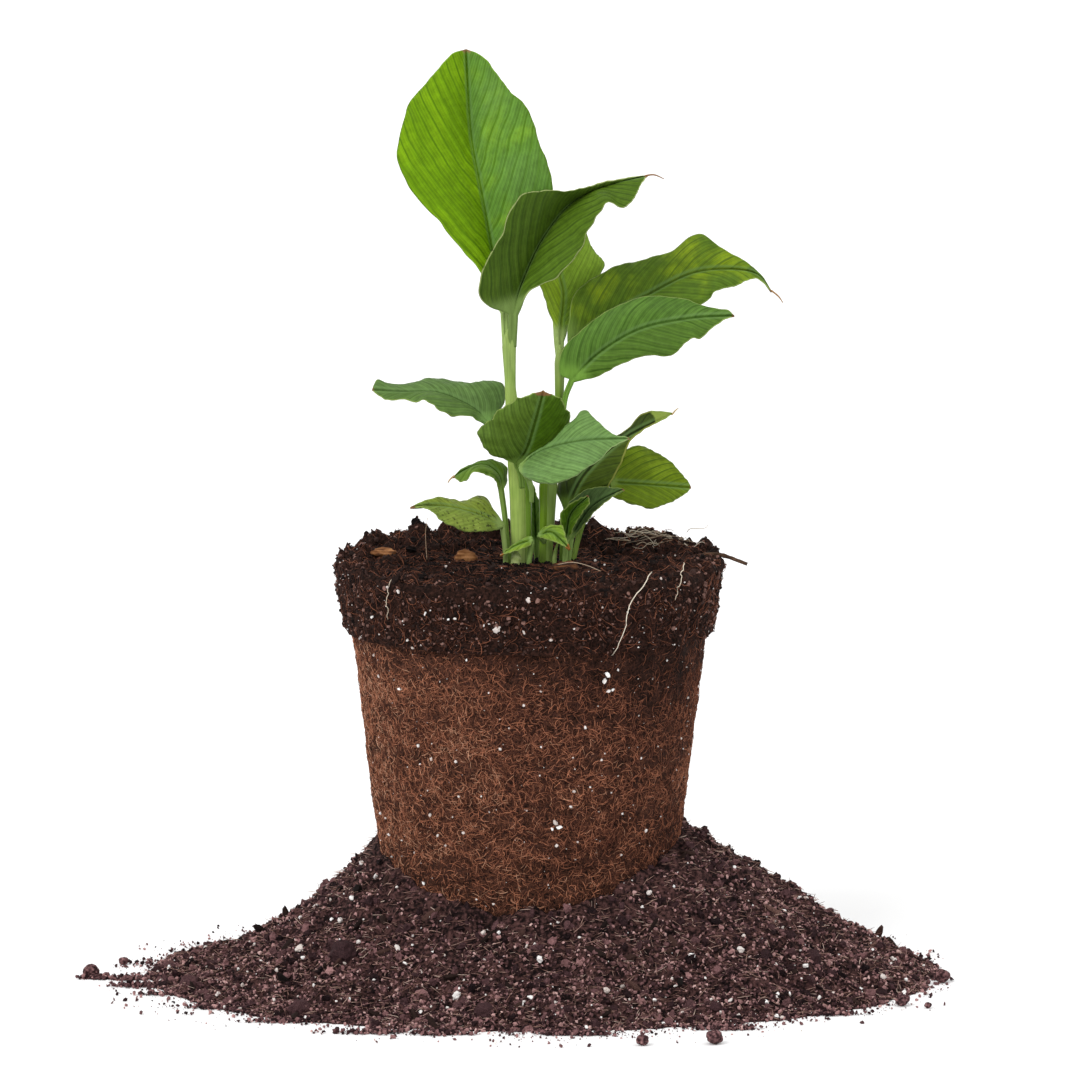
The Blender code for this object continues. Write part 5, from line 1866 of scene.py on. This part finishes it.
@dataclass
class Heap:
    """Loose potting soil heaped round the foot of the ball."""

    ball: RootBall
    reach_side: float = 167 * MM
    reach_front: float = 123 * MM
    right_shift: float = 6 * MM
    contact: float = 55 * MM
    contact_side: float = 3 * MM
    contact_back: float = 9 * MM
    contact_saddle: float = 7 * MM
    edge: float = 1.5 * MM
    slump: float = 1.5
    slump_left: float = 0.35
    lump: float = 3 * MM
    turns: int = 600
    rows: int = 118

    def contact_at(self, turn: np.ndarray) -> np.ndarray:
        """Height of the line where the heap meets the ball."""
        level = self.contact + self.contact_side * np.cos(turn) + self.contact_back * np.sin(turn)
        return level + self.contact_saddle * np.cos(2 * turn)

    def reach_at(self, turn: np.ndarray) -> np.ndarray:
        """Distance from the ball's axis to the heap's ragged outline.

        Args:
            turn: angles round Z.

        Returns:
            The distances.
        """
        side = self.reach_side + self.right_shift * np.cos(turn)
        plain = 1 / np.hypot(np.cos(turn) / side, np.sin(turn) / self.reach_front)
        rim = polar(turn, plain, 0.0)
        return plain + self.lump * lumps(rim, 30) + (3.6 * lumps(rim, 15, 3) + 2.0 * lumps(rim, 6, 4)) * MM

    def slope_points(self, turn: np.ndarray, share: np.ndarray, lift: Lift = 0.0) -> np.ndarray:
        """Points on the slope, from the ball at share 0 to the outline at 1, or above it by lift.

        Args:
            turn: angles round Z.
            share: shares of the way out.
            lift: height above the surface, in metres.

        Returns:
            The points.
        """
        top = self.contact_at(turn)
        start = self.ball.radius_at(top) + GAP
        radius = start + share * (self.reach_at(turn) - start)
        slump = self.slump - self.slump_left * np.cos(turn)
        level = self.edge * 0.4 + (top - self.edge) * np.maximum(1 - share, 0) ** slump
        plain = polar(turn, radius, level)
        wide = self.lump * 4 * share * (1 - share) * lumps(plain, 17)
        inner = ease((1 - share) / 0.08)
        fine = 3.2 * lumps(plain, 11, 2) + 2.4 * lumps(plain, 5.5, 6) + 1.2 * lumps(plain, 2.4, 8)
        return polar(turn, radius, np.maximum(level + wide + fine * inner * MM, 0.2 * MM) + lift)

    def skin(self) -> Skin:
        """The whole surface, with the pocket that holds the ball's foot.

        Returns:
            The skin.
        """
        turn = turns_round(self.turns)[None]
        under = np.array([0.001, 0.5, 0.999])[:, None]
        bottom = polar(turn, self.reach_at(turn) * under, 0.0)
        slope = self.slope_points(turn, np.linspace(1, 0, self.rows)[:, None])
        lowest = self.ball.floor - GAP
        top = self.contact_at(turn)
        level = top + np.array([0.2, 0.6, 1.0])[:, None] * (lowest - top)
        pocket = polar(turn, self.ball.radius_at(level) + GAP, level)
        inward = np.array([0.5, 0.001])[:, None]
        base = polar(turn, self.ball.foot_radius * inward, np.full_like(inward, lowest))
        return Skin(np.concatenate([bottom, slope, pocket, base]))

    def scatter(
        self, rng: Random, count: int, outward: float = 0.55
    ) -> tuple[np.ndarray, np.ndarray]:
        """Angles and shares spread evenly over the slope: outward leans them to the outline.

        Args:
            rng: the source of chance.
            count: how many.
            outward: under 1 to crowd the outline.

        Returns:
            The angles and the shares.
        """
        turn = rng.uniform(0, TURN, 3 * count)
        weight = self.reach_at(turn) - 70 * MM
        turn = turn[rng.uniform(0, weight.max(), 3 * count) < weight][:count]
        return turn, rng.uniform(0, 1, len(turn)) ** outward

    def fibres(self, name: str, rng: Random, count: int) -> bpy.types.Object:
        """Short fibres that lie on the slope and stick out of it.

        Args:
            name: the piece's name.
            rng: the source of chance.
            count: how many.

        Returns:
            The object.
        """
        steps = 6
        turn, share = self.scatter(rng, count, 0.75)
        middle = self.slope_points(turn, share, 0.5 * MM)
        way = rng.normal(size=middle.shape) * (1.0, 1.0, 0.32)
        bend = unit(rng.normal(size=middle.shape)) * rng.uniform(0, 0.35, (len(middle), 1))
        grow = np.linspace(-0.5, 0.5, steps)[None, :, None]
        long = rng.uniform(1.8, 8, (len(middle), 1, 1)) * MM
        paths = middle[:, None] + long * (unit(way)[:, None] * grow + bend[:, None] * (0.25 - grow**2))
        paths[..., 2] = np.maximum(paths[..., 2], 0.25 * MM)
        radii = rng.uniform(0.08, 0.2, len(middle)) * MM
        return Strands(name, FIBRE).build(paths, radii, rng.beta(2, 1.8, len(middle)))

    def build(self, rng: Random) -> None:
        """Makes the slope and all that lies on it.

        Args:
            rng: the source of chance.
        """
        skin = self.skin()
        skin.build("heap_soil", HEAP_GROUND, ("soil_heap",), {"shade": np.full(skin.rings.shape[:2], 0.5)})
        for name in ("heap_crumbs_a", "heap_crumbs_b", "heap_crumbs_c"):
            turn, share = self.scatter(rng, 9500)
            places = self.slope_points(turn, share, 0.2 * MM)
            radii = rng.uniform(0.3, 0.95, len(turn)) * MM
            shades = rng.beta(1.1, 1.6, len(turn))
            Grains(name, CRUMB, uneven=0.45, slim=0.4).build(rng, places, radii, shades)
        turn, share = self.scatter(rng, 1300, 0.7)
        places = self.slope_points(turn, share, 0.1 * MM)
        radii = rng.uniform(1.0, 1.85, len(turn)) ** 1.4 * MM
        Grains("heap_lumps", CRUMB, Grain.FULL, 0.42, 0.4).build(
            rng, places, radii, 0.9 * rng.beta(1.3, 3.8, len(turn)))
        turn, share = self.scatter(rng, 110, 0.7)
        places = self.slope_points(turn, share, 0.4 * MM)
        radii = rng.uniform(0.9, 1.8, len(turn)) * MM
        Grains("heap_bark", DARK_CRUMB, Grain.FULL, 0.15, 0.45, 3.0).build(
            rng, places, radii, rng.beta(2, 2.6, len(turn)))
        places, radii = self.placed(self.LARGE_LUMPS, 0.2 * MM)
        Grains("heap_large_lumps", CRUMB, Grain.FINE, 0.14, 0.95).build(
            rng, places, radii, rng.uniform(0.12, 0.34, len(radii)))
        self.fibres("heap_fibres_a", rng, 4300)
        self.fibres("heap_fibres_b", rng, 4300)
        self.white_grains(rng)
        self.spill(rng)

    # (x, y, radius) in millimetres
    LARGE_GRAINS = ((-29.6, -92, 2.3), (-64, -74, 1.5), (32, -96, 1.7), (-96, -40, 1.6), (88, -62, 1.5))
    LARGE_LUMPS = ((-77, -61, 4.6), (-142, -35, 4.2), (-94, -91, 4.2), (-18, -110, 3.7), (118, -52, 3.6))
    DRIFT_CRUMBS = 330  # in each drift
    # how far a spilt crumb may lie to either side of the ball's axis
    WIDEST = 178 * MM
    # drifts of crumbs on the floor: (x, y, half width, half depth) in millimetres
    DRIFTS = (
        (-183, -10, 6, 2.5), (-168, -12, 8, 3), (-162, -27, 12, 3), (-148, -45, 12, 3), (-124, -75, 14, 3),
        (-98, -103, 14, 3), (-62, -126, 16, 3), (-36, -129, 10, 2), (150, -33, 9, 3), (158, -14, 8, 3),
        (122, -88, 12, 3), (80, -118, 12, 2.5), (20, -130, 12, 2), (90, 112, 14, 3), (-80, 118, 14, 3),
    )

    def placed(self, rows: Sequence[Point], lift: float) -> tuple[np.ndarray, np.ndarray]:
        """Puts chosen grains on the slope.

        Args:
            rows: (x, y, radius) of each in millimetres.
            lift: how far above the slope their centres are.

        Returns:
            Their centres and their radii.
        """
        x, y, radius = (np.array(column) * MM for column in zip(*rows))
        turn = np.arctan2(y, x)
        start = self.ball.radius_at(self.contact_at(turn))
        share = (np.hypot(x, y) - start) / (self.reach_at(turn) - start)
        return self.slope_points(turn, share, lift), radius

    def white_grains(self, rng: Random) -> bpy.types.Object:
        """White grains on the slope, a few of them large.

        Args:
            rng: the source of chance.

        Returns:
            The object.
        """
        turn, share = self.scatter(rng, 640, 0.7)
        places = self.slope_points(turn, share, 0.6 * MM)
        large, radius = self.placed(self.LARGE_GRAINS, 0.8 * MM)
        places = np.concatenate([places, large])
        radii = np.concatenate([(0.25 + 1.05 * rng.uniform(0, 1, len(turn)) ** 3) * MM, radius])
        return Grains("heap_white_grains", WHITE_GRAIN, Grain.FULL, 0.3, 0.5).build(
            rng, places, radii, rng.uniform(0, 1, len(places)))

    def spill(self, rng: Random) -> None:
        """Crumbs and white grains on the floor round the heap, in drifts and fewer further out.

        Args:
            rng: the source of chance.
        """
        kinds = (("spilt_crumbs", CRUMB, 4300, 5.0), ("spilt_grains", WHITE_GRAIN, 70, 9.0))
        for name, finish, count, far in kinds:
            drift = rng.uniform(0, TURN, 60)
            turn = np.where(
                rng.uniform(0, 1, count) < 0.45,
                rng.uniform(0, TURN, count),
                drift[rng.integers(0, 60, count)] + rng.normal(0, 0.035, count),
            )
            ragged = 1 + 1.6 * np.abs(lumps(polar(turn, 0.1, 0.0), 20, 5))
            beyond = np.minimum(rng.exponential(far, count) * ragged, 34) * MM - 2.5 * MM
            radii = (0.16 + 0.85 * rng.uniform(0, 1, count) ** 3) * MM
            widest = self.WIDEST / np.maximum(np.abs(np.cos(turn)), 0.35)
            reach = np.minimum(self.reach_at(turn) + beyond, widest - rng.uniform(0, 6, count) * MM)
            places = polar(turn, reach, radii * 0.75)
            shades = rng.beta(1.8, 2.4, count)
            Grains(name, finish, uneven=0.4, slim=0.5).build(rng, places, radii, shades)
        count = self.DRIFT_CRUMBS
        spots = [rng.normal(size=(count, 2)) * row[2:] * 0.6 + row[:2] for row in self.DRIFTS]
        places = np.concatenate(spots) * MM
        radii = (0.2 + 0.9 * rng.uniform(0, 1, len(places)) ** 2) * MM
        places = np.column_stack([places, radii * rng.uniform(0.6, 1.6, len(radii))])
        shades = rng.beta(1.3, 2.4, len(radii))
        Grains("drifts", CRUMB, uneven=0.45, slim=0.45).build(rng, places, radii, shades)


# --- small pieces -----------------------------------------------------------------------


def tube(path: np.ndarray, radii: np.ndarray, turns: int = 16) -> Skin:
    """A closed tube along a path, whose ends run in to a point.

    Args:
        path: its middle, as (points, 3).
        radii: its radius at each point, in metres.
        turns: points in each ring.

    Returns:
        The tube's skin.
    """
    path = np.vstack([path[:1], path, path[-1:]])
    radii = np.concatenate([[radii[0] * 0.03], radii, [radii[-1] * 0.03]])
    rings = ring_round(path, turns) * radii[:, None, None] + path[:, None]
    return Skin(rings)


@dataclass
class Bud:
    """A short pointed shoot that has just come up, wrapped in scales."""

    name: str
    place: tuple[float, float]
    radius: float
    height: float
    lean: float
    finish: ShootFinish

    def build(self) -> bpy.types.Object:
        """Makes the bud's piece.

        Returns:
            The object.
        """
        rise = np.concatenate([[-ROOTED / (self.height * MM)], np.linspace(0, 1, 40)])
        up = np.maximum(rise, 0)
        path = np.stack([
            self.place[0] + self.lean * up**2,
            np.full_like(rise, self.place[1]),
            SOIL_LEVEL / MM + self.height * rise,
        ], 1) * MM
        full = np.interp(up, (0, 0.35, 0.65, 0.88, 1.0), (1.0, 0.97, 0.75, 0.42, 0.08))
        skin = tube(path, full * self.radius * MM, 40)
        turn = turns_round(40)[None]
        level = np.concatenate([rise[:1], rise, rise[-1:]])[:, None]
        scale = np.mod(2.6 * level + 0.5 * np.cos(turn + 0.8), 1.0)
        skin.push((0.09 * scale + 0.03 * np.sin(9 * turn)) * self.radius * MM * (level > 0) * (level < 0.95))
        attributes = {"lobe": scale * (level > -1), "height": level * self.height + 0 * turn}
        return skin.build(self.name + "_scales", self.finish, (self.name,), attributes)


@dataclass
class Chip:
    """A flake of bark that lies on the ball."""

    name: str
    across: float  # shares of the ball's top radius
    rearward: float
    length: float
    width: float
    shade: float
    tilt: float = 22.0
    thickness: float = 1.5

    def build(self, ball: RootBall) -> bpy.types.Object:
        """Makes the flake's piece.

        Args:
            ball: what the flake lies on.

        Returns:
            The object.
        """
        turn = turns_round(72)
        corners = np.array([(-0.5, -0.1), (-0.32, 0.42), (0.1, 0.5), (0.45, 0.3), (0.5, -0.15), (0.2, -0.5),
                            (-0.3, -0.42)])
        bearing = np.unwrap(np.arctan2(corners[:, 1], corners[:, 0]))
        order = np.argsort(np.mod(bearing, TURN))
        far = np.hypot(*corners.T)[order]
        bearing = np.mod(bearing, TURN)[order]
        reach = np.interp(turn, bearing, far, period=TURN)
        reach = reach * (1 + 0.14 * np.sin(3 * turn + self.length) + 0.07 * np.sin(7 * turn + self.tilt))
        outline = np.stack([reach * np.cos(turn) * self.length, reach * np.sin(turn) * self.width], 1) * MM
        x, y = self.across * ball.top_radius, self.rearward * ball.top_radius
        under = ball.soil_height(outline[:, 0] + x, outline[:, 1] + y).max()
        rows = [(s, 0.0) for s in (0.01, 0.5, 0.85)] + [(0.97, 0.12), (1.0, 0.35), (0.99, 0.65), (0.93, 0.9)]
        rows += [(s, 1.0) for s in (0.85, 0.74, 0.63, 0.52, 0.41, 0.3, 0.2, 0.1, 0.01)]
        rings = np.array([
            np.column_stack([outline * swell, np.full(len(turn), level * self.thickness * MM)])
            for swell, level in rows
        ])
        rings[..., 2] += (0.25 * rings[..., 0] ** 2 / self.length * 1000) * 0.25
        lean = math.radians(self.tilt)
        depth, rise = rings[..., 1].copy(), rings[..., 2].copy()
        rings[..., 1] = depth * math.cos(lean) - rise * math.sin(lean)
        rings[..., 2] = depth * math.sin(lean) + rise * math.cos(lean)
        rings = rings - (0, 0, 0.4 * rings[..., 2].min()) + (x, y, under)
        skin = Skin(rings)
        layered = skin.rings * (0.35, 1.4, 1.0)
        skin.push((0.35 * lumps(layered, 1.6, self.length) + 0.2 * lumps(skin.rings, 0.9, 3)) * MM)
        shade = {"shade": np.full(skin.rings.shape[:2], self.shade) + 0.6 * lumps(layered, 1.6, 5)}
        return skin.build(self.name + "_flake", BARK, (self.name,), shade)


@dataclass
class Clod:
    """A lump of soil on the floor beyond the heap."""

    number: int
    bearing: float
    beyond: float
    share: float
    radius: float = 3.4 * MM

    def build(self, heap: Heap) -> bpy.types.Object:
        """Makes the lump's piece.

        Args:
            heap: what the lump lies beside.

        Returns:
            The object.
        """
        angle = np.array([math.radians(self.bearing)])
        side = heap.reach_side + heap.right_shift * np.cos(angle)
        plain = 1 / np.hypot(np.cos(angle) / side, np.sin(angle) / heap.reach_front)
        reach = plain + heap.lump * lumps(polar(angle, plain, 0.0), 30)
        radius = self.radius * self.share
        out = float(reach[0]) + self.beyond * MM + radius
        tilt = np.linspace(-math.pi / 2 + 0.02, math.pi / 2 - 0.02, 40)[:, None]
        ball = polar(turns_round(56)[None], radius * np.cos(tilt), radius * np.sin(tilt))
        grain = radius / MM
        swell = 1 + 0.22 * lumps(ball, grain, self.number) + 0.12 * lumps(ball, grain / 2.5, self.number)
        swell += 0.06 * lumps(ball, grain / 6, self.number)
        rings = ball * swell[..., None] * (1, 1, 0.8)
        rings = rings - (0, 0, rings[..., 2].min()) + (out * math.cos(angle[0]), out * math.sin(angle[0]), 0)
        shade = {"shade": 0.35 + 0.5 * lumps(rings, 1.1, 2)}
        return Skin(rings).build(f"clod_{self.number}_lump", CRUMB, (f"clod_{self.number}",), shade)


@dataclass
class Litter:
    """The loose bits: bark flakes, a twig, two buds and the clods."""

    ball: RootBall
    heap: Heap
    chips: tuple[Chip, ...] = (
        Chip("left_bark_chip", -0.755, 0.04, 9.5, 5.5, 0.5, 28),
        Chip("middle_bark_chip", -0.33, 0.06, 9.0, 6.5, 0.55, 48),
        Chip("flat_bark_chip", 0.19, -0.38, 10.5, 6.5, 0.15, 24),
    )
    clods: tuple[Clod, ...] = (
        Clod(1, -178, 22, 1.0), Clod(2, 173, 13, 0.6), Clod(3, -6, 1, 1.0), Clod(4, -24, 7, 0.9),
        Clod(5, -24, 20, 0.45), Clod(6, -73, 29, 0.75), Clod(7, -63, 33, 1.0), Clod(8, 112, 34, 0.8),
    )
    buds: tuple[Bud, ...] = (
        Bud("young_bud", (-5.3, -8.3), 2.3, 6, -0.5,
            ShootFinish((0.30, 0.40, 0.13), (0.18, 0.28, 0.05), (0.36, 0.33, 0.18), "bud")),
        Bud("young_sheath", (10.6, -4.2), 0.9, 9, 1.6,
            ShootFinish((0.20, 0.32, 0.06), (0.15, 0.26, 0.03), (0.34, 0.36, 0.18), "bud")),
    )
    twig: tuple[Point, ...] = ((-15.5, 5, 0.5), (-2.5, 2, 3.0), (10.5, -1, -0.8))
    twig_radius: float = 0.95

    def build(self) -> None:
        """Makes all the bits."""
        for chip in self.chips:
            chip.build(self.ball)
        for bud in self.buds:
            bud.build()
        for clod in self.clods:
            clod.build(self.heap)
        rim = np.array((self.ball.top_radius, 0, SOIL_LEVEL))
        path = smooth_curve(rim + np.array(self.twig) * MM, np.linspace(0, 1, 60))
        knots = 1 + 0.22 * np.exp(-(((np.linspace(0, 1, 60) - 0.62) / 0.03) ** 2))
        skin = tube(path, self.twig_radius * MM * np.linspace(1, 0.75, 60) * knots, 22)
        skin.push((0.12 * lumps(skin.rings * (0.3, 1, 1), 0.9, 2) + 0.06 * lumps(skin.rings, 0.5)) * MM)
        shade = {"shade": 0.5 + 0.5 * lumps(skin.rings * (0.4, 1, 1), 1.5, 6)}
        skin.build("twig_bark", TWIG, ("twig",), shade)


def dry_tips(blades: Sequence[Blade]) -> bpy.types.Object:
    """The thin dry points that hang from some tips, in one piece.

    Args:
        blades: the leaves that have one.

    Returns:
        The object.
    """
    shares = np.linspace(0, 1, 14)
    paths = []
    for blade in blades:
        start = blade.tip()
        way = [start - unit(np.array(blade.drip[0])) * MM] + [start + np.array(p) * MM for p in blade.drip]
        paths.append(smooth_curve(way, shares))
    radii = np.full(len(paths), 0.42 * MM)
    shades = np.linspace(0.3, 0.9, len(paths))
    return Strands("dry_tips", DRY_TIP, sides=6).build(np.array(paths), radii, shades)


# --- studio -----------------------------------------------------------------------------


@dataclass
class Studio:
    """A pale floor, soft light and the camera."""

    floor_size: float = 20.0
    floor_colour: Colour = (0.92, 0.92, 0.92)
    sky: float = 1.12
    sun: float = 1.3
    sun_angle: float = 22.0
    sun_turn: Point = (48.0, 0.0, -38.0)
    camera_place: Point = (0.0046, -2.9743, 0.5784)
    camera_turn: Point = (82.49, 0.0, 0.0)
    lens: float = 237.0

    def build(self) -> None:
        """Sets the stage."""
        self.build_floor()
        self.build_light()
        self.build_camera()
        bpy.context.scene.view_settings.view_transform = "Standard"

    def build_floor(self) -> None:
        """A wide round floor that the plant stands on."""
        mesh = bpy.data.meshes.new("floor")
        ring = polar(turns_round(96), np.full(96, self.floor_size), np.zeros(96))
        mesh.from_pydata([tuple(p) for p in ring], [], [tuple(range(96))])
        graph = Graph("floor", roughness=0.9, specular=0.1)
        tone = graph.scale(self.floor_colour, 0.985 + 0.03 * graph.noise(60.0, 2.0))
        mesh.materials.append(graph.finish(tone))
        floor = bpy.data.objects.new("floor", mesh)
        bpy.context.scene.collection.objects.link(floor)

    def build_light(self) -> None:
        """An even white sky and one wide soft lamp from the upper left."""
        world = bpy.data.worlds.new("sky")
        world.use_nodes = True
        world.node_tree.nodes["Background"].inputs["Color"].default_value = (1, 1, 1, 1)
        world.node_tree.nodes["Background"].inputs["Strength"].default_value = self.sky
        bpy.context.scene.world = world
        lamp = bpy.data.lights.new("lamp", "SUN")
        lamp.energy = self.sun
        lamp.angle = math.radians(self.sun_angle)
        holder = bpy.data.objects.new("lamp", lamp)
        holder.rotation_euler = tuple(math.radians(a) for a in self.sun_turn)
        bpy.context.scene.collection.objects.link(holder)

    def build_camera(self) -> None:
        """The camera, at a long distance and a little above the plant's middle."""
        data = bpy.data.cameras.new("camera")
        data.lens = self.lens
        data.sensor_width = 36.0
        camera = bpy.data.objects.new("camera", data)
        camera.location = self.camera_place
        camera.rotation_euler = tuple(math.radians(a) for a in self.camera_turn)
        bpy.context.scene.collection.objects.link(camera)
        bpy.context.scene.camera = camera


def main() -> None:
    """Builds every sub-assembly in order, from the stage up to the leaves' tips."""
    logging.basicConfig(level=logging.INFO, format="%(message)s")
    rng = np.random.default_rng(20)
    Studio().build()
    ball = RootBall()
    heap = Heap(ball)
    heap.build(rng)
    ball.build(rng)
    Litter(ball, heap).build()
    for shoot in (LEFT_SHOOT, RIGHT_SHOOT):
        shoot.build()
    for blade in BLADES:
        blade.build()
    dry_tips([blade for blade in BLADES if blade.drip])


if __name__ == "__main__":
    main()
